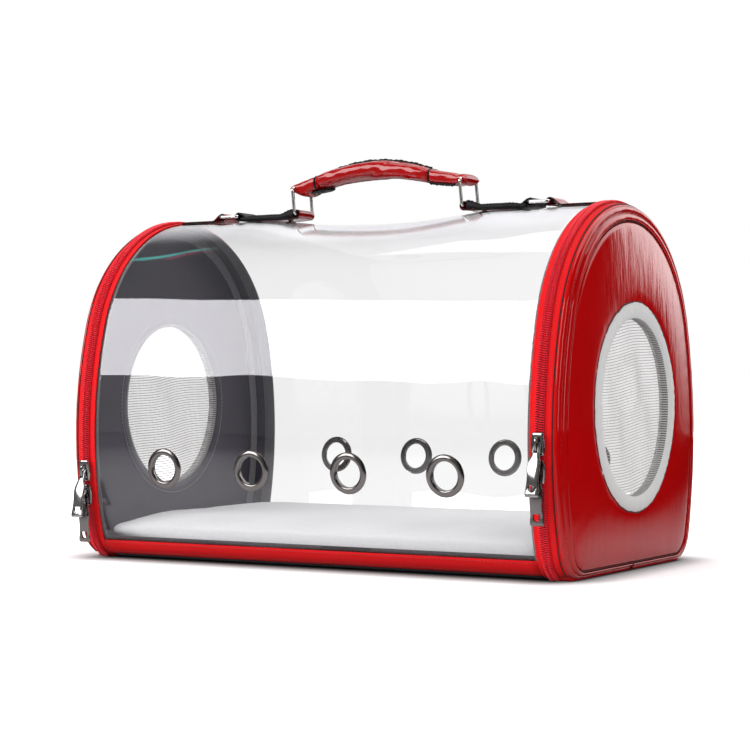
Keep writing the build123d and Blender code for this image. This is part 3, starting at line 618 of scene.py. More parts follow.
# The sleeve is the net cloth lining the hole. It is coloured darker than the ring, with the grooves between
# its ribs near black: painted shade inside the hole.
SLEEVE = new_material("window_sleeve_net", (0.30, 0.295, 0.29), 0.7)
SLEEVE_PITCH = 2.0 * MM
new, link = nodes_of(SLEEVE)[:2]
around = new("ShaderNodeSeparateXYZ")
link(mapped(SLEEVE, (1, 1, 1), uv=True), around.inputs[0])
ribs = math_node(SLEEVE, "MULTIPLY", around.outputs["X"], 2 * math.pi / SLEEVE_PITCH)
ribs = math_node(SLEEVE, "SINE", ribs)
vary(SLEEVE, math_node(SLEEVE, "MULTIPLY_ADD", ribs, 0.5), (0.05, 0.048, 0.046), (0.62, 0.61, 0.60))
bump(SLEEVE, ribs, 0.2 * MM)

# The net is pale cloth. Its threads are coloured mid grey as painted shade, since they are seen against the
# light.
NET = new_material("net_thread", (0.42, 0.385, 0.385), 0.6, Sheen_Weight=0.2)
bump(NET, noise(NET, mapped(NET, (2500, 2500, 2500)), detail=1), 0.05 * MM)
NET_GAP = new_material("net_cross_thread", (0.50, 0.46, 0.45), 0.7)
bump(NET_GAP, noise(NET_GAP, mapped(NET_GAP, (2500, 2500, 2500)), detail=1), 0.05 * MM)

# The base cloth is dark, and it is made near black as painted shade along the carrier's bottom edge.
DARK_BASE = new_material("base_cloth", (0.016, 0.013, 0.014), 0.85, Sheen_Weight=0.1)
bump(DARK_BASE, noise(DARK_BASE, mapped(DARK_BASE, (1500, 1500, 1500)), detail=2), 0.1 * MM)

EDGE = new_material("black_edge_paint", (0.005, 0.004, 0.005), 0.5)
nodes_of(EDGE)[2].inputs["Specular IOR Level"].default_value = 0.2
bump(EDGE, noise(EDGE, mapped(EDGE, (700, 700, 700)), detail=4), 0.25 * MM)
print("cloths:", FELT.name, LINING.name, PLUSH.name, RING_CLOTH.name, NET.name, EDGE.name)

# %% Metal and the clear sheet
GUNMETAL = new_material("gunmetal", (0.19, 0.175, 0.17), 0.16, Metallic=1.0)
wear = noise(GUNMETAL, mapped(GUNMETAL, (180, 180, 180)), detail=5)
bump(GUNMETAL, wear, 0.02 * MM)
vary(GUNMETAL, wear, 0.10, 0.24, "Roughness")

# Slider and pull nickel, darker than the rings' bright nickel and blotched near black: painted dark
# reflections.
NICKEL = new_material("nickel_painted_dark", (0.30, 0.285, 0.28), 0.16, Metallic=1.0)
painted_shade_patches = noise(NICKEL, mapped(NICKEL, (110, 110, 75)), detail=1)
vary(NICKEL, painted_shade_patches, (0.02, 0.018, 0.018), (0.62, 0.60, 0.59))
bump(NICKEL, noise(NICKEL, mapped(NICKEL, (120, 120, 60)), detail=0), 2.0 * MM, 0.5)
bump(NICKEL, noise(NICKEL, mapped(NICKEL, (150, 150, 150)), detail=4), 0.03 * MM)
BRIGHT = new_material("bright_nickel", (0.74, 0.73, 0.71), 0.12, Metallic=1.0)
bump(BRIGHT, noise(BRIGHT, mapped(BRIGHT, (150, 150, 150)), detail=4), 0.03 * MM)

CLEAR = new_material("clear_sheet", (0.965, 0.95, 1.0), 0.02, Metallic=1.0)
new, link, shader = nodes_of(CLEAR)
facing = new("ShaderNodeLayerWeight")
facing.inputs["Blend"].default_value = 0.5
GLOSS_HEAD_ON = 0.045
GLOSS_EDGE_ON = 0.93
edge_on = math_node(CLEAR, "POWER", facing.outputs["Facing"], 5.0)
gloss = math_node(CLEAR, "MULTIPLY_ADD", edge_on, GLOSS_EDGE_ON)
gloss.node.inputs[2].default_value = GLOSS_HEAD_ON
link(gloss, shader.inputs["Alpha"])
ripple = noise(CLEAR, mapped(CLEAR, (6, 22, 22)), detail=2)
bump(CLEAR, ripple, 1.2 * MM, 0.25)
print("metal and sheet:", GUNMETAL.name, NICKEL.name, CLEAR.name)

# %% [markdown]
# ## The clear sheet
# One rectangle of clear vinyl, one millimetre thick, bent over the outline and
# stitched to the binding at both ends and to the strips at the bottom. It is
# soft, so it hangs a little between the straps at the top, where the weight of
# its own middle pulls it down, and it waves slightly along its free walls. The
# eyelet holes are cut after the sheet has its thickness.

# %% Sheet, draped over the outline
SHEET_HALF = 198.0
SHEET_LOW = 10.0
EYELET_XS = (-127.0, -44.0, 44.0, 127.0)
EYELET_Z = {-1: 75.0, 1: 78.0}
SAG = 7.5
SHEET_THICK = 1.0
PUNCH_R = 10.9


def sag_at(x, z):
    """How far the top of the sheet hangs below the outline."""
    span = np.clip(1 - (x / 112.0)**2, 0, 1)**1.5
    crown = np.clip((z - 236.0) / 44.0, 0, 1)**2
    return SAG * span * crown


def wave_at(x, run, amount=0.22):
    """Slight waves of a soft sheet, fading out where it is stitched."""
    fade = np.clip((SHEET_HALF - abs(x)) / 45.0, 0, 1)
    waves = np.sin(x / 31.0 + 1.3 * np.sin(run / 61.0)) + 0.7 * np.sin(x / 17.0 - run / 43.0)
    return amount * fade * waves


def wall_skin(x, line, inset=0.0):
    """Points of the sheet's outer side at x, pushed inwards by inset, along a line."""
    y, z, ny, nz = line.T
    run = np.r_[0, np.cumsum(np.linalg.norm(np.diff(line[:, :2], axis=0), axis=1))]
    drop = inset + sag_at(x, z) + wave_at(x, run)
    return np.stack([np.full(len(y), x), y - ny * drop, z - nz * drop], 1)


sheet_line, sheet_run = spread(arch_line(low_z=SHEET_LOW), step=5.0)
sheet_xs = np.linspace(-SHEET_HALF, SHEET_HALF, 80)
outer = np.stack([wall_skin(x, sheet_line) for x in sheet_xs])
inner = np.stack([wall_skin(x, sheet_line, SHEET_THICK) for x in sheet_xs])
rows, columns = outer.shape[:2]
skin_faces = grid_faces(rows, columns)[0]
back_faces = [[rows * columns + v for v in face[::-1]] for face in skin_faces]
rim_loop = [i * columns for i in range(rows)]
rim_loop += [(rows - 1) * columns + j for j in range(1, columns)]
rim_loop += [i * columns + columns - 1 for i in range(rows - 2, -1, -1)]
rim_loop += [j for j in range(columns - 2, 0, -1)]
edge_faces = [
    [a, b, b + rows * columns, a + rows * columns]
    for a, b in zip(rim_loop, rim_loop[1:] + rim_loop[:1])
]
sheet = outward_faces(as_object(
    "clear_sheet",
    np.concatenate([outer.reshape(-1, 3), inner.reshape(-1, 3)]),
    skin_faces + back_faces + edge_faces,
    None,
    CLEAR,
))
print("sheet:", len(sheet.data.polygons), "faces, sagging", SAG, "mm at the top")

# %% Holes under the eyelets
def wall_frame(z):
    """Point of the front wall at a height and its outward direction, each as y and z."""
    lean = math.asin((z - WIDEST_Z) / SIDE_R)
    y = SIDE_Y - SIDE_R * math.cos(lean)
    return y, WIDEST_Z + SIDE_R * math.sin(lean), -math.cos(lean), math.sin(lean)


def on_wall(local, x, z, side=-1):
    """Points (along x, up the wall, outward) placed on the front (-1) or back (1) wall."""
    y0, z0, ny, nz = wall_frame(z)
    local = np.asarray(local, float)
    across = local[:, 0] if side < 0 else -local[:, 0]
    out = np.empty((len(local), 3))
    out[:, 0] = x + across
    out[:, 1] = -side * (y0 + local[:, 2] * ny + local[:, 1] * nz)
    out[:, 2] = z0 + local[:, 2] * nz - local[:, 1] * ny
    return out


def disc(radius, count, height):
    """Ring of points in the wall's own frame."""
    turn = np.linspace(0, 2 * math.pi, count, endpoint=False)
    return np.stack([radius * np.cos(turn), radius * np.sin(turn), np.full(count, height)], 1)


punches = []
for side in (-1, 1):
    for x in EYELET_XS:
        rings = [on_wall(disc(PUNCH_R, 48, h), x, EYELET_Z[side], side) for h in (-6.0, 6.0)]
        punches.append(loft("punch", rings, None, capped=True))
punch = joined("punches", punches)
cut = sheet.modifiers.new("holes", "BOOLEAN")
cut.operation = "DIFFERENCE"
cut.solver = "EXACT"
cut.object = punch
sheet = made_real(sheet, "clear_sheet")
bpy.data.objects.remove(punch)
sheet.data.polygons.foreach_set("use_smooth", [True] * len(sheet.data.polygons))
print("sheet with", len(punches), "holes:", len(sheet.data.polygons), "faces")

# %% [markdown]
# ## Zippers
# Each end has one long zipper over the arch. A tape is a woven ribbon with its
# own edge; the coil is one nylon thread wound round and round and stitched to
# it, so each half is a row of turns. The turns of both halves meet in the gap.

# %% Tapes with woven edges
ZIP_X = 204.6
zip_line = spread(arch_line(low_z=ZIP_LOW), step=SWEEP_STEP)[0]
body_line = spread(arch_line(low_z=BODY_ZIP_LOW), step=SWEEP_STEP)[0]
binding_line = spread(arch_line(low_z=SHEET_LOW), step=SWEEP_STEP)[0]
body_tape_section = rounded([(196.0, 0.02), (196.0, -0.8), (203.9, -0.8), (203.9, 0.02)], 0.35)
door_tape_section = [
    (205.3, 0.0), (205.3, -0.8), (209.0, -0.8), (212.0, -0.2),
    (215.5, 1.2), (215.5, 2.0), (212.0, 0.7), (209.0, 0.0),
]
binding_section = rounded([(193.8, 1.05), (193.8, 2.3), (204.5, 1.9), (204.5, 1.0), (198.4, 1.05)], 0.35)
backing_section = rounded([(204.8, 0.9), (204.8, 1.7), (213.4, 2.9), (213.4, 2.1)], 0.3)
ZIPPER_CLOTHS = (
    ("body_tape", "body_tape_cloth", body_tape_section, TAPE, body_line),
    ("door_tape", "door_tape_cloth", door_tape_section, TAPE, zip_line),
    ("binding", "binding_felt", binding_section, FELT, binding_line),
    ("backing", "door_tape_backing", backing_section, LINING, binding_line),
)
zippers = {}
for end, sign in ENDS:
    for key, label, half_section, finish, line in ZIPPER_CLOTHS:
        section = [(sign * x, i) for x, i in half_section]
        zippers[end, key] = sweep(f"{end}_{label}", section, finish, line)
print("tapes and bindings:", len(zippers), "pieces")

# %% One turn of the coil, and four rows of turns
COIL_PITCH = 1.7
COIL_THREAD_R = 0.42
COIL_HIGH = 1.15
COIL_SEAT = 0.75


def coil_unit(reach):
    """One turn of a flat coil seen from above: out to the middle, over and back under."""
    turn = np.linspace(0, 2 * math.pi, 12, endpoint=False)
    path = np.stack([
        reach / 2 * np.cos(turn),
        0.32 * np.sin(turn) + COIL_PITCH / 2 * (turn / (2 * math.pi)),
        1.05 * np.abs(np.sin(turn))**0.7 * np.sign(np.sin(turn)) + COIL_HIGH,
    ], 1)
    path = np.concatenate([path, [[reach / 2, COIL_PITCH / 2, COIL_HIGH]]])
    rows = []
    for i, p in enumerate(path):
        ahead = path[min(i + 1, len(path) - 1)] - path[max(i - 1, 0)]
        ahead /= np.linalg.norm(ahead)
        side = np.cross(ahead, (0, 1, 0))
        side /= max(np.linalg.norm(side), 1e-6)
        up = np.cross(side, ahead)
        spin = np.linspace(0, 2 * math.pi, 5, endpoint=False)
        rows.append(p + COIL_THREAD_R * (np.cos(spin)[:, None] * side + np.sin(spin)[:, None] * up))
    return hidden_unit(loft("coil turn", rows, None, capped=True))


def proud_line(x, line, proud):
    """Points at x along a line of the outline, proud of it, and their outward directions."""
    y, z, ny, nz = line.T
    points = np.stack([np.full(len(line), x), y + ny * proud, z + nz * proud], 1)
    return points, np.stack([np.zeros(len(line)), ny, nz], 1)


TURN = coil_unit(3.6)
for end, sign in ENDS:
    # Under each row of turns lies a near-black strip: painted shade in the gaps between the turns.
    for part, x0, x1, line in (("body", 201.0, 204.5, body_line), ("door", 204.7, 208.2, zip_line)):
        section = [(sign * x, i) for x, i in ((x0, -0.7), (x0, -1.0), (x1, -1.0), (x1, -0.7))]
        zippers[end, f"{part}_ribbon"] = sweep(f"{end}_{part}_coil_ribbon", section, PAINTED_SHADE_RED, line)
for end, sign in ENDS:
    for part, x, line in (("body", ZIP_X - 1.9, body_line), ("door", ZIP_X + 1.9, zip_line)):
        points, outward = proud_line(sign * x, line, COIL_SEAT)
        above = line[:, 1] + 3.0 * line[:, 3] > 0.0
        name = f"{end}_{part}_coil_turns"
        turns = along_line(name, points[above], outward[above], TURN, COIL_PITCH, COIL)
        zippers[end, f"{part}_coil"] = turns
print("coil:", len(zippers["left", "body_coil"].data.polygons), "faces per row")

# %% [markdown]
# ## End doors
# A door is a padded frame round an oval window. Two piped edges of patent run
# round it with a stitched crease between them. A cord lies in the groove, coloured
# near-black red as painted shade, and inside it the padded panel swells up and
# dips again where the window ring is sewn down.

# %% Padded panel between groove and window
PANEL_BACK = 216.0
panel_edge = edge_reach(14.2, 6.5, 20.5)
panel_hole = oval_reach(4.0)
wrinkle = np.random.default_rng(7)
phases = wrinkle.uniform(0, 2 * math.pi, 12)


def puckers(amount):
    """Fine gathers round a seam: uneven waves along the directions."""
    waves = sum(np.sin(k * angles + phases[i]) for i, k in enumerate((23, 37, 41, 58)))
    return amount * waves / 4


# How far across the panel from the groove, how high it stands and how it gathers
PANEL_SECTION = (
    (0.0, 2.8, 0.00), (0.015, 3.6, 0.06), (0.05, 4.1, 0.08), (0.12, 4.55, 0.05),
    (0.24, 5.1, 0.02), (0.4, 5.6, 0.01), (0.58, 5.9, 0.008), (0.74, 6.0, 0.01),
    (0.87, 5.8, 0.02), (0.95, 5.0, 0.02), (1.0, 3.2, 0.02),
)
panel_rows = []
for share, high, gather in PANEL_SECTION:
    reach = panel_edge + share * (panel_hole - panel_edge)
    panel_rows.append((PANEL_BACK + high + puckers(gather), reach))
panel_back = np.full(DIRECTIONS, PANEL_BACK + 0.1)
panel_rows += [(panel_back, panel_hole), (panel_back, panel_edge)]
print("panel section:", len(panel_rows), "rings")

# %% Rim with two piped edges and a stitched crease
# Inset and x: outer bead, sunk seam, inner bead, then back along the inside
RIM_SECTION = (
    (1.2, 214.2), (0.9, 215.4), (1.5, 216.8), (2.9, 218.0), (4.4, 218.5), (5.6, 218.3),
    (6.3, 217.6), (6.7, 217.3), (7.1, 217.7), (7.8, 218.7), (9.0, 219.7), (10.6, 220.1),
    (11.8, 219.9), (12.5, 219.2), (12.6, 217.8), (9.5, 217.0), (6.7, 216.2), (4.0, 215.3),
)
rim_rows = []
for inset, x in RIM_SECTION:
    gather = 0.12 if 1 < inset < 12 else 0.0
    reach = rim_reach(min(max(inset, RIM_INSET[0]), RIM_INSET[1]))
    rim_rows.append((x + puckers(gather), reach + max(0.0, RIM_INSET[0] - inset)))
print("rim section:", len(rim_rows), "rings")

# %% Both doors from the same rings
RIM_SHADE_SECTION = ((213.5, -0.3), (214.0, -0.15), (214.3, 1.1), (213.5, 0.9))
SLIT_SECTION = ((213.9, 1.2), (218.9, 0.9), (220.6, 5.4), (213.9, 5.4))
SLIT_HALF = 0.45
CORD_X = 217.8
cord_middle = edge_reach(13.35, 5.7, 21.2)
cord_rows = []
for turn in np.linspace(0, 2 * math.pi, 10, endpoint=False):
    cord_x = CORD_X + 0.9 * math.cos(turn) + puckers(0.05)
    cord_rows.append((cord_x, cord_middle - 0.8 * math.sin(turn)))
doors = {}
for end, sign in ENDS:
    doors[end, "panel"] = loft(f"{end}_padded_panel", door_rings(panel_rows, sign), PATENT)
    doors[end, "rim"] = loft(f"{end}_piped_rim", door_rings(rim_rows, sign), PATENT)
    # A near-black strip where the door tape meets the rim: painted shade in that crease.
    section = [(sign * x, i) for x, i in RIM_SHADE_SECTION]
    doors[end, "rim_seam"] = sweep(f"{end}_rim_tape_seam", section, PAINTED_SHADE_RED, zip_line)
    # The slit at the bottom of the rim is a near-black block: painted shade inside the slit.
    slit = [np.array([(sign * x, y, z) for x, z in SLIT_SECTION]) for y in (SLIT_HALF, -SLIT_HALF)]
    doors[end, "slit"] = loft(f"{end}_rim_seam_slit", slit, PAINTED_SHADE_RED, capped=True)
    # The piping cord takes the near-black red as painted shade of its groove.
    doors[end, "cord"] = loft(f"{end}_piping_cord", door_rings(cord_rows, sign), PAINTED_SHADE_RED)
print("door panel:", len(doors["left", "panel"].data.polygons), "faces")

# %% [markdown]
# ## Window ring, net and lining
# The window ring is a strip of pale stretch cloth folded through the hole, so it
# is round in section and reaches back through the thickness of the door. The net
# is warp knitted: ribs from the front to the rear of the window, with thin cross
# threads up and down behind them.

# %% Rounded window ring
gathers = 0.09 * np.sin(75 * angles) * (1 + 0.6 * np.sin(7 * angles))
# How far outside the window's edge, and x: through the hole, over the crest and back
RING_SECTION = (
    (0.0, 214.4), (-0.5, 217.0), (-0.7, 219.5), (0.1, 221.8), (1.8, 223.2),
    (4.3, 223.9), (7.4, 223.9), (10.2, 223.1), (12.2, 221.9), (13.1, 220.6),
    (12.6, 219.8), (8.0, 219.4), (3.6, 219.0), (2.2, 217.0), (1.6, 214.4),
)
# Where the painted shade round the ring's outer edge lies: how far outside the window's edge, and x.
RING_SHADE_SECTION = ((11.5, 221.0), (12.9, 221.2), (13.0, 222.1), (11.8, 222.1))
NET_X = 216.9
ring_rows = []
for grow, x in RING_SECTION:
    outside = 1.0 if grow > 1 and x > 220 else 0.0
    ring_x = np.full(DIRECTIONS, x) + outside * (puckers(0.2) + gathers)
    uneven = outside * 0.5 * np.sin(5 * angles + 1)
    ring_rows.append((ring_x, oval_reach(grow + uneven)))
for end, sign in ENDS:
    rows = door_rings(ring_rows, sign)
    piece = loft(f"{end}_window_binding", rows, RING_CLOTH)
    piece.data.materials.append(SLEEVE)
    for face in piece.data.polygons:
        if face.index < 3 * DIRECTIONS or face.index >= (len(rows) - 1) * DIRECTIONS:
            face.material_index = 1
    doors[end, "ring"] = piece
    # A ragged near-black strip round the ring's outer edge: painted shade where the ring meets the panel.
    ragged = 0.3 * np.sin(31 * angles) + 0.25 * np.sin(17 * angles + 2)
    fold = door_rings([(x, oval_reach(grow + ragged)) for grow, x in RING_SHADE_SECTION], sign)
    doors[end, "ring_edge_shade"] = loft(f"{end}_window_ring_fold", fold, PAINTED_SHADE_RED)
crest = max(x for grow, x in RING_SECTION)
print("window ring: crest", round(crest - NET_X, 1), "mm proud of the net")


# %% Net of ribs and cross threads
def thread(points, radius, sides=4):
    """A thin round thread through points, as rings for a loft."""
    points = np.array(points, float)
    ahead = np.gradient(points, axis=0)
    ahead /= np.linalg.norm(ahead, axis=1)[:, None]
    side = np.cross(ahead, (1.0, 0, 0))
    side /= np.linalg.norm(side, axis=1)[:, None]
    up = np.cross(side, ahead)
    spin = np.linspace(0, 2 * math.pi, sides, endpoint=False) + math.pi / 4
    cos = np.cos(spin)[:, None]
    sin = np.sin(spin)[:, None]
    return [p + radius * (cos * s + sin * u) for p, s, u in zip(points, side, up)]


def net_fold(y, z):
    """A soft upright fold in the loosely held net, fading out at its edge."""
    inside = np.clip(1 - (y / WINDOW_RY)**2 - (z / WINDOW_RZ)**2, 0, 1)
    wide = 1.3 * np.sin(y / 9.5 + z / 24.0 + 0.6 * np.sin(z / 30.0))
    fine = 0.25 * np.sin(y / 4.1 - z / 45.0)
    return inside * (wide + fine)


NET_MARGIN = 1.0
RIB_STEP = 2.2
RIB_R = 0.37
RIB_FLAT = 0.5
RIB_SLOPE = 0.09
CROSS_STEP = 1.7
CROSS_R = 0.11
CROSS_BEHIND = 0.12


def chord(at, radius, length):
    """Even steps over an oval of two radii, across it at a place, or None near its tip."""
    span = length * math.sqrt(max(0.0, 1 - (at / radius)**2))
    return None if span < 2 else np.linspace(-span, span, max(8, int(span / 3)))


def net_piece(name, sign):
    """Ribs along y every 2.2 mm and cross threads every 1.7 mm, inside the oval."""
    verts = []
    faces = []

    def lay(rings):
        start = len(verts)
        size = len(rings[0])
        for r in rings:
            verts.extend(r.tolist())
        for i in range(len(rings) - 1):
            for j in range(size):
                near = start + i * size
                far = near + size
                k = (j + 1) % size
                faces.append([near + j, near + k, far + k, far + j])
        faces.append([start + j for j in range(size)][::-1])
        faces.append([start + (len(rings) - 1) * size + j for j in range(size)])

    ry = WINDOW_RY + NET_MARGIN
    rz = WINDOW_RZ + NET_MARGIN
    for z in np.arange(-rz + 1.1, rz, RIB_STEP):
        ys = chord(z, rz, ry)
        if ys is None:
            continue
        zs = WINDOW_Z + z + RIB_SLOPE * ys + 0.9 * np.sin(ys / 13.0 + z / 37.0)
        rib = np.stack([sign * (NET_X + net_fold(ys, z)), ys, zs], 1)
        flat = thread(rib, RIB_R)
        for r, p in zip(flat, rib):
            r[:, 0] = p[0] + (r[:, 0] - p[0]) * RIB_FLAT
        lay(flat)
    ribs_end = len(faces)
    for y in np.arange(-ry + 0.6, ry, CROSS_STEP):
        zs = chord(y, ry, rz)
        if zs is None:
            continue
        xs = sign * (NET_X - CROSS_BEHIND + net_fold(np.full(len(zs), y), zs))
        strand = np.stack([xs, y + 0.1 * np.sin(zs / 5 + y), WINDOW_Z + zs], 1)
        lay(thread(strand, CROSS_R))
    piece = outward_faces(as_object(name, verts, faces, None, NET))
    piece.data.materials.append(NET_GAP)
    slots = [0] * ribs_end + [1] * (len(faces) - ribs_end)
    piece.data.polygons.foreach_set("material_index", slots)
    return piece


for end, sign in ENDS:
    doors[end, "net"] = net_piece(f"{end}_net_threads", sign)
print("net:", len(doors["left", "net"].data.polygons), "faces")

# %% Lining and its felt binding
lining_edge = edge_reach(7.8, 4.0, 24.0)
lining_rows = [
    (215.9, lining_edge), (215.9, oval_reach(1.7)), (214.4, oval_reach(1.7)),
    (214.2, oval_reach(6.0)), (213.9, oval_reach(14.0)),
    (214.2, edge_reach(11.0, 6.0, 22.0)), (214.4, lining_edge),
]
FELT_SECTION = (
    (2.4, 214.1), (2.1, 213.4), (2.8, 212.5), (5.0, 211.9),
    (8.0, 212.0), (10.6, 212.7), (11.3, 213.5), (10.9, 214.1),
)
felt_rows = []
for inset, x in FELT_SECTION:
    bottom = 2.6 + (inset - 2.2) * 0.5
    corner = max(16.0, 28.0 - inset * 0.5)
    felt_rows.append((x, edge_reach(inset, bottom, corner)))
for end, sign in ENDS:
    doors[end, "lining"] = loft(f"{end}_slate_lining", door_rings(lining_rows, sign), LINING)
    doors[end, "felt"] = loft(f"{end}_felt_edge", door_rings(felt_rows, sign), FELT)
print("lining and felt:", len(doors["left", "lining"].data.polygons), "faces")

# %% [markdown]
# ## Base: cover, edge strips and hinge strips
# Cloth pieces that follow the lower edge of the outline are sweeps too, along
# only a part of it, as wide as the carrier is long.

# %% Lines along parts of the outline
def lower_part(low, high, side=-1):
    """The outline between two heights on the front (-1) or the back (1)."""
    line = arch_line(low_z=low) if low > 0 else arch_line()
    line = line[(line[:, 0] < 0) & (line[:, 1] <= high + 0.4)]
    line = spread(line, step=1.2)[0]
    return line if side < 0 else line * (-1, 1, -1, 1)


def under_line(high):
    """The outline from a height at the front, under the floor, to the same height at the back."""
    front = lower_part(0, high)[::-1]
    floor_y = np.linspace(front[-1, 0], -front[-1, 0], 60)
    floor = np.stack([floor_y, np.zeros(60), np.zeros(60), -np.ones(60)], 1)
    return np.concatenate([front, floor[1:-1], (front * (-1, 1, -1, 1))[::-1]])


def across(x0, x1, outer, inner, count):
    """A flat section in x, from x0 to x1, between two insets."""
    xs = np.linspace(x0, x1, count)
    return [(x, outer) for x in xs] + [(x, inner) for x in xs[::-1]]


STRIP_HALF = 196.0
STRIP_HEIGHTS = (4.0, 16.0)
FOLD_HEIGHTS = (8.0, 18.8)
HINGE_HALF = 103.0
EDGE_STEP = 1.2
base = {}
cover = across(-SHEET_HALF, SHEET_HALF, 0.0, 1.0, 40)
base["cover"] = sweep("base_cover_cloth", cover, DARK_BASE, under_line(SHEET_LOW), step=3.0)
turned_up = across(-STRIP_HALF, STRIP_HALF, 1.3, 1.8, 20)
strip = across(-STRIP_HALF, STRIP_HALF, -0.85, 0.0, 60)
for name, side in (("front", -1), ("rear", 1)):
    line = lower_part(*FOLD_HEIGHTS, side)
    base[f"{name}_fold"] = sweep(f"{name}_cover_fold", turned_up, DARK_BASE, line, step=EDGE_STEP)
    line = lower_part(*STRIP_HEIGHTS, side)
    base[name] = sweep(f"{name}_edge_strip", strip, TAPE, line, step=EDGE_STEP)
hinge_y = np.linspace(-HINGE_HALF, HINGE_HALF, 60)
hinge_line = np.stack([hinge_y, np.zeros(60), np.zeros(60), -np.ones(60)], 1)
for end, sign in ENDS:
    section = [(sign * x, i) for x, i in across(198.0, 215.0, 0.05, 0.95, 8)]
    base[end] = sweep(f"{end}_hinge_cloth", section, TAPE, hinge_line)
print("base cloth:", ", ".join(base))

# %% [markdown]
# ## Straps and tabs
# A strap is one long strip of patent, folded round two metal bars and riveted to
# itself, so it is two layers with a loop at both ends. Its cut edges are painted
# black. The path is closed, and the strip is lofted along it.

# %% Folded strips round bars
EYE_Z = 284.3


def smooth_step(value, start, stop):
    """0 before start, 1 after stop, smooth between."""
    t = np.clip((value - start) / (stop - start), 0, 1)
    return t * t * (3 - 2 * t)


def eased(t, length, reach=10.0):
    """0 along the flat of a strap and 1 at its bars."""
    near = np.minimum(t, 1 - t) * length
    share = np.clip(1 - near / reach, 0, 1)
    return share**2 * (3 - 2 * share)


def fold_path(x0, x1, low, high, loops, radius=2.75, count=26):
    """Closed path in (x, z): out along the underside, back over the top, round each bar."""
    t = np.linspace(0, 1, count)
    here = eased(t, abs(x1 - x0))
    start = np.where(t < 0.5, loops[0], loops[1])
    under = low + (EYE_Z - radius - low) * here * start
    over = high + (EYE_Z + radius - high) * here * start
    along = x0 + (x1 - x0) * t
    ahead = math.copysign(1, x1 - x0)
    turn = np.linspace(-math.pi / 2, math.pi / 2, 15)[1:-1]
    rounds = []
    for x, loop, spin in ((x1, loops[1], 1), (x0, loops[0], -1)):
        size = radius if loop else (high - low) / 2
        mid = EYE_Z if loop else (high + low) / 2
        xs = x + spin * ahead * size * np.cos(turn)
        rounds.append(np.stack([xs, mid + spin * size * np.sin(turn)], 1))
    there = np.stack([along, under], 1)
    back = np.stack([along, over], 1)[::-1]
    return np.concatenate([there, rounds[0], back, rounds[1]])


def folded_strip(name, path, half_width, thickness, painted=0.0):
    """Loft a strip along a closed (x, z) path, black on its cut edges and past painted."""
    ahead = np.roll(path, -1, 0) - np.roll(path, 1, 0)
    ahead /= np.linalg.norm(ahead, axis=1)[:, None]
    area = 0.5 * np.sum(path[:, 0] * np.roll(path[:, 1], -1) - np.roll(path[:, 0], -1) * path[:, 1])
    normal = np.stack([ahead[:, 1], -ahead[:, 0]], 1) * (1 if area > 0 else -1)
    ys = half_width * np.array([-1, -0.985, -0.93, -0.6, -0.2, 0.2, 0.6, 0.93, 0.985, 1])
    crown = thickness * np.array([0.2, 0.42, 0.5, 0.5, 0.5, 0.5, 0.5, 0.5, 0.42, 0.2])
    rows = []
    for (x, z), (nx, nz) in zip(path, normal):
        fall = ys**2 / (2 * TOP_R) * np.clip((EYE_Z + 0.5 - z) / 3.0, 0, 1)
        top = np.stack([x + nx * crown, ys, z + nz * crown - fall], 1)
        back = np.stack([x - nx * crown, ys, z - nz * crown - fall], 1)[::-1]
        rows.append(np.concatenate([top, back]))
    strip = loft(name, rows, HANDLE_PATENT)
    strip.data.materials.append(EDGE)
    count = len(ys)
    one_edge = {count - 2, count - 1, count, count + 1}
    other_edge = {0, 1, 2 * count - 1, 2 * count - 2}
    for face in strip.data.polygons:
        at = {v % (2 * count) for v in face.vertices}
        cut = at <= other_edge or (at <= one_edge and at & {count - 1, count})
        past = painted and abs(face.center[0]) > painted * MM
        face.material_index = 1 if cut or past else 0
    return strip


STRAP_XS = (79.0, 137.5)
TAB_XS = (154.5, 195.5)
straps = {}
for end, sign in ENDS:
    strap_path = fold_path(sign * STRAP_XS[0], sign * STRAP_XS[1], 280.75, 282.35, (1, 1), radius=2.9)
    straps[end, "strap"] = folded_strip(f"{end}_folded_strap", strap_path, 11.8, 1.5, painted=120.0)
    tab_path = fold_path(sign * TAB_XS[0], sign * TAB_XS[1], 280.6, 281.8, (1, 0))
    straps[end, "tab"] = folded_strip(f"{end}_folded_tab", tab_path, 11.6, 1.2)
    core_rows = []
    for x in np.linspace(81.8, 134.8, 60):
        ragged = 0.25 * math.sin(1.9 * x) + 0.18 * math.sin(4.7 * x)
        near_ring = smooth_step(-x, -96.0, -83.0)
        top = 284.6 + ragged + 3.6 * near_ring - 1.2 * smooth_step(x, 120.0, 134.0)
        low = 280.3 + 0.5 * ragged + 1.5 * near_ring
        edge = 12.6 - 0.25 * ragged
        section = (
            (-edge + 0.5, low), (-edge, low + 1.6), (-edge + 0.3, top),
            (-11.0, top + 0.15), (-9.6, top - 0.4), (-9.6, low),
        )
        core_rows.append(np.array([(sign * x, y, z) for y, z in section]))
    straps[end, "core"] = loft(f"{end}_strap_edge", core_rows, EDGE, capped=True)
print("straps and tabs:", len(straps))

# %% [markdown]
# ## Handle
# The grip is a padded roll of patent. It is thickest in the middle and its skin
# gathers near both ends, where a folded strip goes round the ring and back.

# %% Grip, padded
GRIP_X0 = -61.0
GRIP_X1 = 46.0
GRIP_Z = 317.65
GRIP_FALL = 7.85
GRIP_THICK = 15.7
GRIP_TAPER = 4.2
GRIP_WIDTH = 25.0
grip_mid = (GRIP_X0 + GRIP_X1) / 2
grip_half = (GRIP_X1 - GRIP_X0) / 2


def grip_at(x):
    """Centre height and thickness of the grip at x."""
    s = (x - grip_mid) / grip_half
    return GRIP_Z - GRIP_FALL * s * s, GRIP_THICK - GRIP_TAPER * s * s


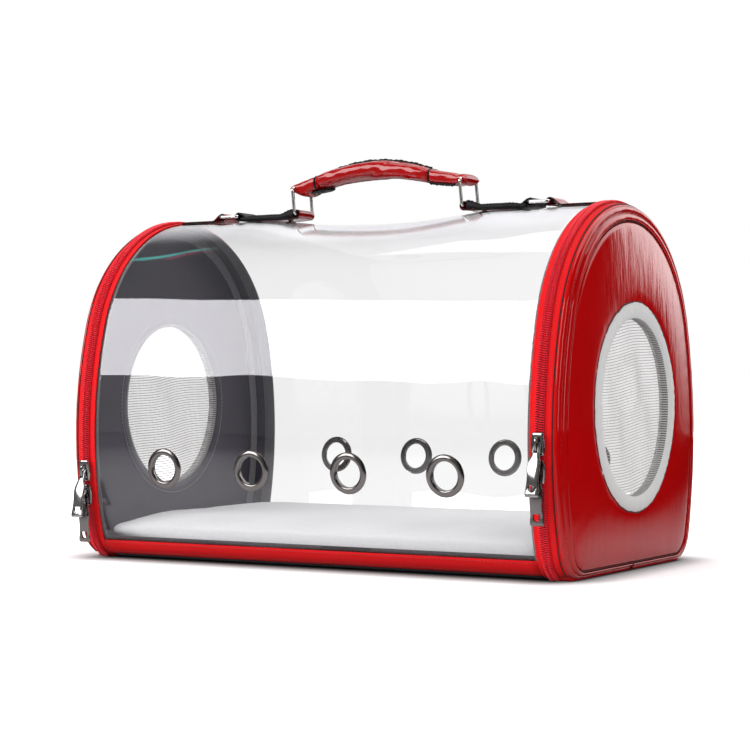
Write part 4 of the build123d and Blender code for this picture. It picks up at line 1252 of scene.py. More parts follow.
def roll_ring(x, centre, width, height, slope, power=2.6, count=64, gather=0.0, crumple=0.0):
    """A rounded section across the grip at x, tilted to the grip's slope."""
    turn = np.linspace(0, 2 * math.pi, count, endpoint=False)
    c = np.sign(np.cos(turn)) * np.abs(np.cos(turn))**(2 / power)
    s = np.sign(np.sin(turn)) * np.abs(np.sin(turn))**(2 / power)
    pleat = gather * (np.sin(9 * turn + x / 3.0) + 0.6 * np.sin(15 * turn - x / 2.0))
    dent = 0.5 + 0.5 * np.sin(2.5 * turn + 0.9 * np.sin(x / 7.0) + x / 8.0)
    pleat = pleat - crumple * dent**2
    half = height / 2 + pleat
    up = s * half
    return np.stack([x - up * slope, c * (width / 2 + pleat), centre + up], 1)


grip_rows = []
for x in np.linspace(GRIP_X0, GRIP_X1, 70):
    centre, height = grip_at(x)
    slope = -2 * GRIP_FALL * (x - grip_mid) / grip_half**2
    end = min(abs(x - GRIP_X0), abs(x - GRIP_X1))
    tuck = 1 - 0.16 * math.exp(-end / 2.2)
    gather = 0.05 + 0.16 * math.exp(-end / 11.0)
    crumple = 0.95 * math.exp(-((x - grip_mid) / 40.0)**2)
    width = GRIP_WIDTH * tuck
    section = roll_ring(x, centre, width, height * tuck, slope, gather=gather, crumple=crumple)
    grip_rows.append(section)
grip = loft("padded_grip", grip_rows, HANDLE_PATENT, capped=True)
print("grip:", len(grip.data.polygons), "faces")

# %% Ends folded round the rings
# x, top and bottom of each end, from its outer tip inwards to the grip
END_WIDTH = 22.4
END_SHAPES = {
    "left": (
        (-85.2, 305.9, 305.3), (-84.6, 307.6, 303.6), (-83.2, 309.0, 302.3), (-81.0, 309.9, 301.2),
        (-78.0, 310.9, 299.7), (-75.0, 311.9, 298.9), (-71.5, 313.0, 298.8), (-68.5, 313.9, 299.9),
        (-66.6, 314.5, 302.4), (-64.0, 315.0, 303.4), (-61.0, 315.6, 303.9), (-59.5, 315.4, 304.6),
    ),
    "right": (
        (81.6, 306.0, 305.4), (81.0, 308.2, 303.2), (79.4, 309.8, 301.6), (76.9, 310.4, 301.0),
        (73.6, 310.2, 301.3), (72.2, 309.2, 302.3), (71.2, 310.2, 301.6), (69.0, 311.3, 301.0),
        (62.0, 312.6, 301.6), (54.0, 314.1, 302.6), (46.0, 315.6, 303.9), (44.5, 315.4, 304.6),
    ),
}


def end_rows(shape):
    """Rounded sections through the folded end, one for each (x, top, bottom)."""
    rows = []
    for x, high, low in shape:
        mid = (high + low) / 2
        rows.append(roll_ring(x, mid, END_WIDTH, high - low, 0.0, power=3.4, gather=0.05))
    return rows


def smooth_shape(shape, count=30):
    """The same outline in even steps along its top line."""
    shape = np.array(shape, float)
    run = np.r_[0, np.cumsum(np.linalg.norm(np.diff(shape[:, :2], axis=0), axis=1))]
    even = np.linspace(0, run[-1], count)
    return np.stack([np.interp(even, run, shape[:, i]) for i in range(3)], 1)


handle = {}
for end, sign in ENDS:
    rows = end_rows(smooth_shape(END_SHAPES[end]))
    handle[end] = loft(f"{end}_grip_end", rows, HANDLE_PATENT, capped=True)
print("handle ends:", len(handle))

# %% Painted bands and the painted edge along the top
def band_rows(x, reach, width):
    """A narrow raised band round the grip at x."""
    centre, height = grip_at(x)
    rows = []
    for dx, grow in ((-1.0, -0.6), (-0.9, 0.35), (-0.4, 0.65), (0.4, 0.65), (0.9, 0.35), (1.0, -0.6)):
        wide = GRIP_WIDTH * reach + 2 * grow
        high = height * reach + 2 * grow + 1.0
        rows.append(roll_ring(x + dx * width / 2, centre, wide, high, 0.0, power=2.8))
    return rows


for end, x in (("left", GRIP_X0 - 0.4), ("right", GRIP_X1 + 0.4)):
    handle[end, "band"] = loft(f"{end}_grip_band", band_rows(x, 0.92, 1.9), EDGE)
fin_rows = []
for x in np.linspace(GRIP_X0 + 1.0, GRIP_X1 - 1.0, 60):
    centre, height = grip_at(x)
    top = centre + height / 2
    ragged = 0.3 * math.sin(x * 1.3) + 0.25 * math.sin(x * 3.1)
    y = -1.0 + 0.4 * math.sin(x / 9.0)
    fin_rows.append(np.array([
        (x, y - 1.1, top - 1.4), (x, y - 0.8, top + 1.1 + ragged),
        (x, y + 0.6, top + 1.4 + ragged), (x, y + 1.2, top - 1.4),
    ]))
handle["fin"] = loft("grip_edge_fin", fin_rows, EDGE, capped=True)
fringe_rows = []
for x in np.linspace(48.0, 70.5, 24):
    low = np.interp(x, (46.0, 54.0, 62.0, 69.0, 71.0), (303.9, 302.6, 301.6, 301.0, 301.6))
    ragged = 0.35 * math.sin(x * 2.3) + 0.2 * math.sin(x * 5.1)
    fringe_rows.append(np.array([
        (x, -10.6, low + 1.2), (x, -10.9, low - 0.5 + ragged),
        (x, -9.2, low - 0.9 + ragged), (x, -8.4, low + 0.6),
    ]))
handle["fringe"] = loft("right_end_fringe", fringe_rows, EDGE, capped=True)
print("painted edges:", len(fin_rows), "steps along the top")

# %% Leather tongue under the grip's left end
TONGUE_X0 = -77.0
TONGUE_LENGTH = 29.0
TONGUE_Z = 301.17
TONGUE_RISE = 3.4
TONGUE_HALF = 6.9
TONGUE_THICK = 0.95
tongue_rows = []
for u in np.linspace(0, 1, 30):
    half = TONGUE_HALF * min(1.0, (1 - u) / 0.24 + 0.06)**0.8
    middle_z = TONGUE_Z + TONGUE_RISE * u - 0.35 * math.sin(math.pi * u)
    middle = np.array((TONGUE_X0 + TONGUE_LENGTH * u, 0.0, middle_z))
    turns = np.linspace(0, 2 * math.pi, 20, endpoint=False)
    across_y = half * np.sign(np.cos(turns)) * abs(np.cos(turns))**0.5
    up_z = TONGUE_THICK * np.sign(np.sin(turns)) * abs(np.sin(turns))**0.7
    up_z = up_z + 0.25 * (across_y / 7.0)**2
    tongue_rows.append(middle + np.column_stack([np.zeros(20), across_y, up_z]))
handle["tongue"] = loft("handle_tongue_leather", tongue_rows, EDGE, capped=True)
print("tongue:", len(handle["tongue"].data.polygons), "faces")

# %% [markdown]
# ## Floor pad
# The pad is a thick plush cushion. It is blown up by cloth simulation from a
# slightly smaller slab, by 2.5 mm at most. A formula then crowns its top, lowers
# its front edge and keeps it inside the walls.

# %% Pad, blown up by cloth simulation
PAD_LOW = 4.3
PAD_TALL = 25.4
PAD_HALF = (200.5, 119.5)
PAD_MOST_BLOWN = 2.5 * MM
PAD_BOX = (0.196, 0.118)
PAD_MOST = (0.1985, 0.035)
PAD_WALL_Z = (0.004, 0.009, 0.015, 0.022)
PAD_WALL_Y = (0.1065, 0.1125, 0.1165, 0.118)


def pad_start():
    """A rounded slab, a little smaller than the finished pad."""
    rows = []
    for t in np.linspace(0, 1, 9):
        z = PAD_LOW + 0.6 + t * PAD_TALL
        shrink = 0.8 + 3.2 * abs(2 * t - 1)**4 + 7.0 * np.clip(1 - t / 0.4, 0, 1)
        half_x = PAD_HALF[0] - shrink
        half_y = PAD_HALF[1] - shrink
        turn = np.linspace(0, 2 * math.pi, 96, endpoint=False)
        c = np.sign(np.cos(turn)) * np.abs(np.cos(turn))**0.08
        s = np.sign(np.sin(turn)) * np.abs(np.sin(turn))**0.10
        rows.append(np.stack([half_x * c, half_y * s, np.full(96, z)], 1))
    return loft("pad_start", rows, PLUSH, capped=True)


pad = pad_start()
remesh = pad.modifiers.new("voxels", "REMESH")
remesh.mode = "VOXEL"
remesh.voxel_size = 5 * MM
pad = made_real(pad, "floor_cushion")
start_points = np.array([v.co[:] for v in pad.data.vertices])
cloth = pad.modifiers.new("inflate", "CLOTH")
cloth.settings.use_pressure = True
cloth.settings.uniform_pressure_force = 4.0
cloth.settings.effector_weights.gravity = 0
cloth.settings.tension_stiffness = 20
cloth.settings.compression_stiffness = 20
cloth.settings.bending_stiffness = 0.8
scene = bpy.context.scene
for step in range(1, 21):
    scene.frame_set(step)
pad = made_real(pad, "floor_cushion")
scene.frame_set(1)
moved = np.array([v.co[:] for v in pad.data.vertices])
shift = moved - start_points
length = np.linalg.norm(shift, axis=1)
shift *= np.minimum(1, PAD_MOST_BLOWN / np.maximum(length, 1e-9))[:, None]
points = start_points + shift
crown_x = np.clip(1 - (points[:, 0] / PAD_BOX[0])**2, 0, 1)**0.5
crown_y = np.clip(1 - (points[:, 1] / PAD_BOX[1])**2, 0, 1)**0.5
share = np.clip((points[:, 2] - PAD_LOW * MM) / (26 * MM), 0, 1)
front = smooth_step(-points[:, 1], 0.035, PAD_BOX[1])
corner = smooth_step(-points[:, 0], 0.105, PAD_BOX[0]) * smooth_step(-points[:, 1], 0.050, PAD_BOX[1])
top_rise = 3.0 * crown_x * crown_y + 2.0 - 5.5 * front
points[:, 2] += (share * top_rise + (1 - share) * 12.5 * corner) * MM
points[:, 2] = np.clip(points[:, 2], PAD_LOW * MM, PAD_MOST[1])
points[:, 0] = np.clip(points[:, 0], -PAD_MOST[0], PAD_MOST[0])
low_wall = np.interp(points[:, 2], PAD_WALL_Z, PAD_WALL_Y)
points[:, 1] = np.clip(points[:, 1], -low_wall, low_wall)
pad.data.vertices.foreach_set("co", points.ravel())
pad.data.materials.clear()
pad.data.materials.append(PLUSH)
pad.data.polygons.foreach_set("use_smooth", [True] * len(pad.data.polygons))
smooth = pad.modifiers.new("smooth", "SUBSURF")
smooth.levels = 1
smooth.render_levels = 1
print("pad:", len(pad.data.polygons), "faces, top at", round(points[:, 2].max() / MM, 1), "mm")

# %% [markdown]
# ## Eyelets
# A pressed eyelet is one turned ring: a barrel through the sheet and a flange
# rolled over its outer side. One ring is lathed from its section, and a node tree
# copies it to the eight marked places, facing out from the wall.

# %% Rings at the marks
MARKS = copying_tree("unit at marks", along=False)


def at_marks(name, points, outward, unit, material):
    """Copies of unit at points in millimetres, facing outward."""
    mesh = bpy.data.meshes.new(name)
    mesh.from_pydata([tuple(np.array(p, float) * MM) for p in points], [], [])
    side = mesh.attributes.new("outward", "FLOAT_VECTOR", "POINT")
    side.data.foreach_set("vector", np.array(outward, float).ravel())
    marks = bpy.data.objects.new(name, mesh)
    bpy.context.scene.collection.objects.link(marks)
    return modified(marks, MARKS, name, Unit=unit, Material=material)


# Radius and height over the wall
EYELET_SECTION = (
    (10.8, -2.3), (10.75, 0.2), (10.9, 0.9), (11.4, 1.45), (12.2, 1.72),
    (13.2, 1.72), (14.3, 1.42), (15.2, 0.95), (15.8, 0.45), (16.0, 0.1),
    (15.8, -0.1), (11.9, -0.1), (11.6, -0.3), (11.6, -2.3),
)
eyelet_unit = hidden_unit(loft("eyelet unit", [disc(r, 56, h) for r, h in EYELET_SECTION], None))
marks = []
faces_out = []
for side in (-1, 1):
    for x in EYELET_XS:
        y0, z0, ny, nz = wall_frame(EYELET_Z[side])
        marks.append((x, y0 * -side, z0))
        faces_out.append((0, ny * -side, nz))
eyelet_rings = at_marks("eyelet_rings", marks, faces_out, eyelet_unit, GUNMETAL)
print("eyelets:", len(marks), "rings,", len(eyelet_rings.data.polygons), "faces")

# %% [markdown]
# ## Zipper sliders and pulls
# The slider is cast: two plates on a post, each with two shoulders and a flat
# tail, and an arched bail on top. The pull is a domed plate, narrow where it hangs
# on the bail by a slot. The plate is lofted first, and its slot and its D-shaped
# hole are cut out of it.

# %% Slider body and bail
SLIDER_CORNERS = (
    (-4.4, -8.5), (4.4, -8.5), (5.3, -2.0), (5.7, 2.9), (4.7, 8.0),
    (2.2, 8.6), (-2.2, 8.6), (-4.7, 8.0), (-5.7, 2.9), (-5.3, -2.0),
)
TOP_PLATE = ((0.5, 3.55), (0.0, 3.75), (0.0, 4.4), (0.35, 4.75), (1.2, 5.0), (2.6, 5.15))
LOW_PLATE = ((0.6, -0.45), (0.0, -0.6), (0.0, -1.3), (0.6, -1.6))
POST_SECTION = ((-0.35, 2.9), (0.35, 2.9), (0.35, 8.0), (-0.35, 8.0))
POST_HEIGHTS = (-0.5, 3.7)
BAIL_SECTION = (
    (1.1, 0.35), (0.7, 0.6), (-0.7, 0.6), (-1.1, 0.35),
    (-1.1, -0.35), (-0.7, -0.6), (0.7, -0.6), (1.1, -0.35),
)
BAIL_HALF = 5.0
BAIL_LOW = 4.9
BAIL_RISE = 3.5


def slider_outline(turn, drawn_in, height, count=64):
    """Outline of a slider plate with rounded shoulders, which are up (1) or down (-1)."""
    outline = np.array(rounded(SLIDER_CORNERS, 1.6, 5))
    run = np.r_[0, np.cumsum(np.linalg.norm(np.diff(outline, axis=0, append=outline[:1]), axis=1))]
    closed = np.concatenate([outline, outline[:1]])
    even = np.linspace(0, run[-1], count, endpoint=False)
    points = np.stack([np.interp(even, run, closed[:, i]) for i in (0, 1)], 1)
    points = points * (1, turn)
    inner = points * (1 - drawn_in * 0.9 / np.maximum(np.linalg.norm(points, axis=1), 1)[:, None])
    return np.column_stack([inner, np.full(count, height)])


def slider_piece(name, end_sign, z, turn):
    """Both plates, the post and the bail of one slider."""
    top = [slider_outline(turn, k, h) for k, h in TOP_PLATE]
    low = [slider_outline(turn, k, h) for k, h in LOW_PLATE]
    post = [np.array([(u, v * turn, h) for u, v in POST_SECTION]) for h in POST_HEIGHTS]
    bail = []
    for t in np.linspace(0, math.pi, 15):
        along = -BAIL_HALF * np.sign(math.cos(t)) * abs(math.cos(t))**0.6
        high = BAIL_LOW + BAIL_RISE * math.sin(t)**0.6
        ahead = np.array((math.sin(t), 0.6 * math.cos(t)))
        ahead /= np.linalg.norm(ahead)
        out = np.array((-ahead[1], ahead[0]))
        bail.append(np.array([(u, along + w * out[0], high + w * out[1]) for u, w in BAIL_SECTION]))
    parts = []
    for label, rows in (("plate", top), ("plate", low), ("post", post), ("bail", bail)):
        placed = [on_wall(r, end_sign * ZIP_X, z) for r in rows]
        parts.append(loft(label, placed, NICKEL, capped=True))
    return joined(name, parts)


print("slider: two plates, a post and a bail, reaching", BAIL_LOW + BAIL_RISE, "mm out to its middle line")

# %% Pulls
# Distance below the pivot and half width of the plate
PULL_WIDTHS = (
    (-1.5, 2.3), (-1.1, 3.0), (0.0, 3.3), (5.0, 3.3), (7.4, 3.2), (9.5, 3.7), (12.5, 4.7), (15.5, 5.2),
    (19.0, 5.0), (23.0, 4.6), (27.0, 4.7), (31.0, 5.2), (34.5, 5.6), (36.8, 5.6), (37.6, 5.2), (38.0, 4.4),
)
PULL_TOP = -1.5
PULL_TIP = 38.0
PULL_THICK = 0.82
PULL_BOW = 1.3
PIVOT_H = 6.1


def pull_place(end_sign, z, tilt):
    """Pivot, down direction and outward direction of a pull."""
    y0, z0, ny, nz = wall_frame(z)
    pivot = np.array((end_sign * ZIP_X, y0 + ny * PIVOT_H, z0 + nz * PIVOT_H))
    lean = math.radians(tilt)
    down = np.array((0, -math.sin(lean), -math.cos(lean)))
    out = np.array((0, -math.cos(lean), math.sin(lean)))
    return pivot, down, out


def pull_piece(name, end_sign, z, tilt):
    """A domed plate with a slot for the bail and a D-shaped hole."""
    pivot, down, out = pull_place(end_sign, z, tilt)
    widths = np.array(PULL_WIDTHS)
    us = np.array([-1, -0.96, -0.82, -0.5, 0, 0.5, 0.82, 0.96, 1])
    dome = PULL_THICK * np.array([0.2, 0.55, 0.85, 1.15, 1.3, 1.15, 0.85, 0.55, 0.2])

    def at(u, v, h):
        return pivot + (u, 0, 0) + down * v + out * h

    rows = []
    near_tip = (36.3, 36.9, 37.4, 37.8, PULL_TIP)
    for v in np.r_[np.linspace(PULL_TOP, -0.6, 4), np.linspace(0.5, 35.5, 30), near_tip]:
        half = np.interp(v, widths[:, 0], widths[:, 1])
        edge = min(1.0, 0.35 + 0.65 * min((v - PULL_TOP) / 2.5, (PULL_TIP - v) / 1.2))
        bow = PULL_BOW * math.sin(math.pi * np.clip((v - 5.0) / 27.0, 0, 1))
        top = [at(half * u, v, bow + w) for u, w in zip(us, edge * dome)]
        back = [at(half * u, v, bow - w) for u, w in zip(us, edge * dome)][::-1]
        rows.append(np.array(top + back))
    # The lower pull is the same nickel as the upper one; gunmetal paints it darker, as shade.
    plate = loft(name, rows, GUNMETAL if "lower" in name else NICKEL, capped=True)

    def tool(points):
        rings = [np.array([at(u, v, h) for u, v in points]) for h in (-3.0, 4.0)]
        return loft("tool", rings, None, capped=True)

    slot = rounded([(-1.6, 1.1), (1.6, 1.1), (1.9, 6.4), (-1.9, 6.4)], 0.8, 5)
    turn = np.linspace(0, math.pi, 15)
    hole = [(3.0 * math.cos(t), 31.6 + 3.4 * math.sin(t)) for t in turn] + [(-3.0, 29.6), (3.0, 29.6)]
    cutters = joined("cutters", [tool(slot), tool(hole)])
    cut = plate.modifiers.new("openings", "BOOLEAN")
    cut.operation = "DIFFERENCE"
    cut.solver = "EXACT"
    cut.object = cutters
    edge = plate.modifiers.new("edge", "BEVEL")
    edge.width = 0.25 * MM
    edge.segments = 2
    edge.limit_method = "ANGLE"
    edge.angle_limit = math.radians(50)
    done = made_real(plate, name)
    bpy.data.objects.remove(cutters)
    done.data.polygons.foreach_set("use_smooth", [True] * len(done.data.polygons))
    return done


SLIDER_Z = {"right": (99.5, 80.0), "left": (72.0, 52.5)}
hardware = {}
for end, sign in ENDS:
    upper_z, lower_z = SLIDER_Z[end]
    for place, z, turn, tilt in (("upper", upper_z, -1, 12.5), ("lower", lower_z, 1, 0.0)):
        hardware[end, place, "slider"] = slider_piece(f"{end}_{place}_zip_slider", sign, z, turn)
        hardware[end, place, "pull"] = pull_piece(f"{end}_{place}_zip_pull", sign, z, tilt)
print("sliders and pulls:", len(hardware))

# %% [markdown]
# ## Seams
# The same tree that repeats the coil's turn lays the stitches: along the tapes and
# the edge strips, and round the crease of the rim and the window.

# %% Stitches along the seams
def seam(name, body, points, outward, spacing=3.2, thread=THREAD, slot_name="red_tape"):
    """One row of stitches that rides on a body."""
    row = along_line(name, points, outward, SEAM_STITCH, spacing, thread)
    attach(row, body)


def round_seam(name, body, x, reach, facing, **options):
    """A closed seam at x and a reach, facing along x (1) or against it (-1)."""
    points = ring(x, reach)
    points = np.concatenate([points, points[:1]])
    seam(name, body, points, np.tile((facing, 0, 0), (len(points), 1)), **options)


BODY_SEAM_X = 197.3
DOOR_SEAM_X = 210.2
WINDOW_SEAM_X = 213.75
RIM_SEAM_X = 217.45
STRIP_SEAM_HEIGHTS = (6.0, 14.2)
STRIP_SEAM_HALF = 195
GREY_THREAD = new_material("grey_thread", (0.55, 0.55, 0.57), 0.6, Sheen_Weight=0.2)
bump(GREY_THREAD, noise(GREY_THREAD, mapped(GREY_THREAD, (4000, 4000, 4000)), detail=1), 0.03 * MM)
seams = 0
for end, sign in ENDS:
    body = f"{end}_door"
    seam(f"{end}_tape_seam", "carrier", *proud_line(sign * BODY_SEAM_X, body_line, 0.75))
    seam(f"{end}_tape_seam_door", body, *proud_line(sign * DOOR_SEAM_X, zip_line, 0.5))
    inside = {"thread": GREY_THREAD, "slot_name": "grey_lining"}
    round_seam(f"{end}_window_seam", body, sign * WINDOW_SEAM_X, oval_reach(9.0), -sign, **inside)
    outside = {"spacing": 3.0, "slot_name": "red_patent"}
    round_seam(f"{end}_rim_seam", body, sign * RIM_SEAM_X, rim_reach(6.7), sign, **outside)
    seams += 4
for name, side in (("front", -1), ("rear", 1)):
    for z in STRIP_SEAM_HEIGHTS:
        y, height, ny, nz = lower_part(STRIP_HEIGHTS[0], z, side)[-1]
        xs = np.linspace(-STRIP_SEAM_HALF, STRIP_SEAM_HALF, 40)
        points = [(x, y + ny * 0.8, height + nz * 0.8) for x in xs]
        seam(f"{name}_strip_seam_{round(z)}", "carrier", points, [(0, ny, nz)] * 40)
        seams += 1
print("seams:", seams)

# %% [markdown]
# ## What stays from the CAD
# These hard pieces keep their CAD meshes and get a better finish.

# %% Finishes for the CAD nodes that stay
KEPT = {
    "base_board": LINING,
    "eyelet_washers": GUNMETAL,
    "handle_rivet": GUNMETAL,
}
for end, sign in ENDS:
    for part, finish in (
        ("handle_ring", BRIGHT), ("shoulder_ring", BRIGHT), ("strap_rivets", GUNMETAL),
    ):
        KEPT[f"{end}_{part}"] = finish
for name, finish in KEPT.items():
    for place in nodes[name].material_slots:
        place.material = finish
print("kept from the CAD:", len(KEPT), "nodes")

# %% [markdown]
# ## Every piece on its body
# Each new piece says which body carries it and which CAD node it stands for, if any.

# %% Rides and replacements
def belongs(piece, body, node):
    """The body that carries a piece, the CAD node that it replaces, if any."""
    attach(piece, body)
    if node:
        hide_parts(node)


belongs(sheet, "carrier", "clear_body_sheet")
belongs(base["cover"], "carrier", "base_cover")
belongs(base["front_fold"], "carrier", None)
belongs(base["rear_fold"], "carrier", None)
belongs(base["front"], "carrier", "front_bottom_strip")
belongs(base["rear"], "carrier", "rear_bottom_strip")
belongs(pad, "pad", "floor_pad")
for end, sign in ENDS:
    belongs(zippers[end, "body_tape"], "carrier", f"{end}_body_tape")
    belongs(zippers[end, "binding"], "carrier", f"{end}_body_binding")
    belongs(zippers[end, "body_coil"], "carrier", f"{end}_body_coil")
    belongs(zippers[end, "door_coil"], f"{end}_door", f"{end}_door_coil")
    belongs(zippers[end, "door_tape"], f"{end}_door", f"{end}_door_tape")
    belongs(zippers[end, "backing"], f"{end}_door", None)
    belongs(straps[end, "core"], "carrier", None)
    belongs(base[end], "carrier", f"{end}_hinge_strip")
    belongs(straps[end, "strap"], "carrier", f"{end}_top_strap")
    belongs(straps[end, "tab"], "carrier", f"{end}_ring_tab")
    for key, node, slot_name in (
        ("panel", "face_panel", "red_patent"), ("rim", "door_rim", "red_patent"),
        ("ring", "window_ring", "ring_fabric"), ("net", "window_net", "net"),
        ("lining", "face_lining", "grey_lining"), ("felt", "lining_binding", "grey_felt"),
    ):
        belongs(doors[end, key], f"{end}_door", f"{end}_{node}")
    belongs(handle[end], "handle", f"{end}_handle_end")
    belongs(doors[end, "slit"], f"{end}_door", None)
    belongs(doors[end, "rim_seam"], f"{end}_door", None)
    belongs(doors[end, "cord"], f"{end}_door", f"{end}_groove_cord")
    belongs(doors[end, "ring_edge_shade"], f"{end}_door", None)
    for part in ("body", "door"):
        body = "carrier" if part == "body" else f"{end}_door"
        belongs(zippers[end, f"{part}_ribbon"], body, None)
    behind = [f"{end}_padded_panel"]
    for place in ("upper", "lower"):
        for part in ("slider", "pull"):
            node = f"{end}_{place}_{part}"
            belongs(hardware[end, place, part], node, node)
    belongs(handle[end, "band"], "handle", None)
belongs(handle["fin"], "handle", None)
belongs(handle["tongue"], "handle", "handle_tongue")
belongs(handle["fringe"], "handle", None)
belongs(eyelet_rings, "carrier", "eyelets")
belongs(grip, "handle", "handle_grip")
print("bodies dressed")

# %% [markdown]
# ## Camera, floor and light
# The photograph was taken from the front right, level with the carrier's middle,
# with a long lens. A wide soft lamp on the left, a soft top light and a small lamp
# on the right light it. The gloss shows a white room behind and to the right, with
# two thin coloured bands high up at the back. Only glossy rays see that room.

# %% Camera
LENS_LENGTH = 95.86
SENSOR_WIDTH = 36
EYE_PLACE = (0.8234, -1.4168, 0.1441)
scene = bpy.context.scene
lens = bpy.data.cameras.new("photo_camera")
lens.lens = LENS_LENGTH
lens.sensor_width = SENSOR_WIDTH
eye = bpy.data.objects.new("photo_camera", lens)
eye.location = EYE_PLACE
target = Vector((-0.00942, 0, 0.14946))
eye.rotation_euler = (target - eye.location).to_track_quat("-Z", "Y").to_euler()
scene.collection.objects.link(eye)
scene.camera = eye
print("camera", round((target - eye.location).length, 3), "m away")


# %% Lamps
WORLD_LIGHT = 0.50
WORLD_FRONT = 0.22


def soft_lamp(name, place, aim, size, power):
    """A rectangular area lamp pointing at a spot."""
    lamp = bpy.data.lights.new(name, "AREA")
    lamp.shape = "RECTANGLE"
    lamp.size, lamp.size_y = size
    lamp.energy = power
    piece = bpy.data.objects.new(name, lamp)
    piece.location = place
    piece.rotation_euler = (Vector(aim) - Vector(place)).to_track_quat("-Z", "Y").to_euler()
    scene.collection.objects.link(piece)


soft_lamp("key", (-1.45, -2.15, 1.5), (-0.1, 0, 0.12), (1.9, 1.5), 60)
soft_lamp("top", (0.2, 0.3, 2.4), (0, 0, 0.1), (2.4, 2.0), 26)
soft_lamp("right", (2.6, -0.9, 0.9), (0.2, 0, 0.12), (0.4, 1.6), 8)

world = bpy.data.worlds.new("studio")
scene.world = world
world.use_nodes = True
tree = world.node_tree


def world_math(operation, a, b):
    """One Math node in the world's tree."""
    node = tree.nodes.new("ShaderNodeMath")
    node.operation = operation
    for socket, value in zip(node.inputs, (a, b)):
        if isinstance(value, (int, float)):
            socket.default_value = value
        else:
            tree.links.new(value, socket)
    return node.outputs[0]


def world_step(value, start, stop, low, high):
    """A smooth step of a value from low to high between start and stop."""
    node = tree.nodes.new("ShaderNodeMapRange")
    node.interpolation_type = "SMOOTHSTEP"
    tree.links.new(value, node.inputs["Value"])
    set_range(node, start, stop, low, high)
    return node.outputs[0]


rays = tree.nodes.new("ShaderNodeLightPath").outputs
way = tree.nodes.new("ShaderNodeTexCoord")
parts = tree.nodes.new("ShaderNodeSeparateXYZ")
tree.links.new(way.outputs["Generated"], parts.inputs[0])
way_x, way_y, way_z = parts.outputs
# Each step of the mirrored room: from, to, value before it and value after it
behind = world_step(way_y, 0.25, 0.65, 0.0, 1.0)
slanted = world_math("SUBTRACT", world_math("MULTIPLY", way_x, 2.0), way_z)
beside = world_step(slanted, 0.60, 0.77, 1.0, 0.0)
above = world_step(way_z, 0.18, 0.45, 0.0, 1.0)
over_floor = world_step(way_z, -0.03, 0.10, 0.12, 1.0)
to_left = world_step(way_x, -0.05, 0.03, 1.0, 0.0)
low_fade = world_math("MAXIMUM", over_floor, to_left)
right = world_step(way_x, 0.05, 0.25, 1.07, 2.9)
dim = world_step(way_x, 0.10, 0.40, WORLD_FRONT, 0.012)
white = world_math("MULTIPLY", world_math("MULTIPLY", behind, right), low_fade)
white = world_math("MULTIPLY", white, world_math("MAXIMUM", beside, above))
mirrored = world_math("MAXIMUM", white, dim)
clear_ray = world_math("MAXIMUM", rays["Is Camera Ray"], rays["Is Transmission Ray"])
glossy = world_math("MULTIPLY", rays["Is Glossy Ray"], mirrored)
not_glossy = world_math("SUBTRACT", 1.0, rays["Is Glossy Ray"])
rest = world_math("MULTIPLY", not_glossy, WORLD_LIGHT)
strength = world_math("MAXIMUM", clear_ray, world_math("MAXIMUM", glossy, rest))
BAND_SOFT = 0.003


def world_band(low, high):
    """1 for glossy rays between two heights of a direction that leads back and left, else 0."""
    over_low = world_step(way_z, low, low + BAND_SOFT, 0.0, 1.0)
    under_high = world_step(way_z, high - BAND_SOFT, high, 1.0, 0.0)
    inside = world_math("MULTIPLY", over_low, under_high)
    leftward = world_step(way_x, -0.575, -0.553, 1.0, 0.0)
    backward = world_math("GREATER_THAN", way_y, 0.08)
    mask = world_math("MULTIPLY", inside, leftward)
    return world_math("MULTIPLY", mask, world_math("MULTIPLY", backward, rays["Is Glossy Ray"]))


shelf = world_band(0.786, 0.796)
cloth_line = world_band(0.797, 0.806)
bands = world_math("MAXIMUM", world_math("MULTIPLY", shelf, 2.6), world_math("MULTIPLY", cloth_line, 1.6))
strength = world_math("MAXIMUM", strength, bands)
colour = None
for mask, shown_colour in ((shelf, (0.12, 1.0, 0.85, 1)), (cloth_line, (1.0, 0.12, 0.25, 1))):
    tint = tree.nodes.new("ShaderNodeMixRGB")
    tint.inputs["Color1"].default_value = (1, 1, 1, 1)
    tint.inputs["Color2"].default_value = shown_colour
    if colour:
        tree.links.new(colour, tint.inputs["Color1"])
    tree.links.new(mask, tint.inputs["Fac"])
    colour = tint.outputs["Color"]
background = tree.nodes["Background"]
tree.links.new(colour, background.inputs["Color"])
tree.links.new(strength, background.inputs["Strength"])
print("lamps: key, top and right, in a white room")

# %% Floor
FLOOR_HALF = 4000.0
FLOOR_Z = -0.4
CONTACT_REACH = 0.03
floor_finish = new_material("pale_floor", (0.86, 0.86, 0.87), 0.6)
new, link, shader = nodes_of(floor_finish)
shader.inputs["Specular IOR Level"].default_value = 0.0
path = new("ShaderNodeLightPath").outputs
spot = new("ShaderNodeTexCoord").outputs["Object"]
away = new("ShaderNodeVectorMath")
away.operation = "LENGTH"
link(spot, away.inputs[0])
spot_parts = new("ShaderNodeSeparateXYZ")
link(spot, spot_parts.inputs[0])


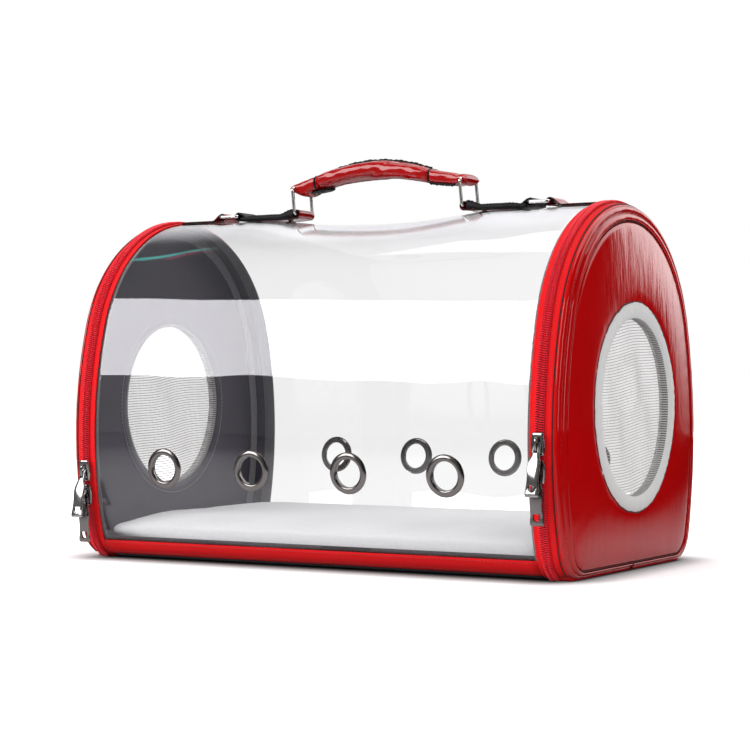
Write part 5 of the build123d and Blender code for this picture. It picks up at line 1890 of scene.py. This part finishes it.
def floor_math(operation, a, b):
    """One Math node in the floor's material."""
    return math_node(floor_finish, operation, a, b)


def floor_step(value, start, stop, low, high):
    """A value of the floor that leads from low at start to high at stop."""
    node = new("ShaderNodeMapRange")
    set_range(node, start, stop, low, high)
    link(value, node.inputs["Value"])
    return node.outputs[0]


contact = new("ShaderNodeAmbientOcclusion")
contact.samples = 8
contact.inputs["Distance"].default_value = CONTACT_REACH
# Contact shade close to the carrier, but not in reflections of the floor
shade = floor_math("MAXIMUM", floor_math("POWER", contact.outputs["AO"], 1.4), path["Is Glossy Ray"])
seen = floor_math("SUBTRACT", 1.0, path["Is Glossy Ray"])
# Reflections see the floor darker far away and to the right
by_length = floor_step(away.outputs["Value"], 0.3, 1.3, 1.0, 0.10)
by_side = floor_step(spot_parts.outputs["X"], 0.24, 0.50, 1.0, 0.04)
mirrored_floor = floor_math("MULTIPLY", by_length, by_side)
# Behind the clear sheet the floor glows white instead of taking light, as the backdrop does
through = floor_math("MINIMUM", path["Transparent Depth"], 1.0)
direct = floor_math("SUBTRACT", 1.0, floor_math("MULTIPLY", through, seen))
pale = floor_math("MULTIPLY", direct, floor_math("MAXIMUM", seen, mirrored_floor))
vary(floor_finish, floor_math("MULTIPLY", shade, pale), (0.0, 0.0, 0.0), (0.86, 0.86, 0.87))
shader.inputs["Emission Color"].default_value = (1, 1, 1, 1)
shown = floor_math("MAXIMUM", path["Is Camera Ray"], path["Is Transmission Ray"])
shown = floor_math("MULTIPLY", shown, shade)
glow = floor_math("MULTIPLY", shown, floor_step(away.outputs["Value"], 0.20, 0.50, 0.20, 1.0))
behind_sheet = floor_math("MULTIPLY", shown, through)
link(floor_math("MAXIMUM", glow, behind_sheet), shader.inputs["Emission Strength"])
corners = ((-1, -1), (1, -1), (1, 1), (-1, 1))
floor_corners = [(FLOOR_HALF * x, FLOOR_HALF * y, FLOOR_Z) for x, y in corners]
ground = as_object("floor", floor_corners, [(0, 1, 2, 3)], None, floor_finish)
scene.view_settings.view_transform = "Standard"
print("floor:", round(2 * FLOOR_HALF * MM), "m wide")
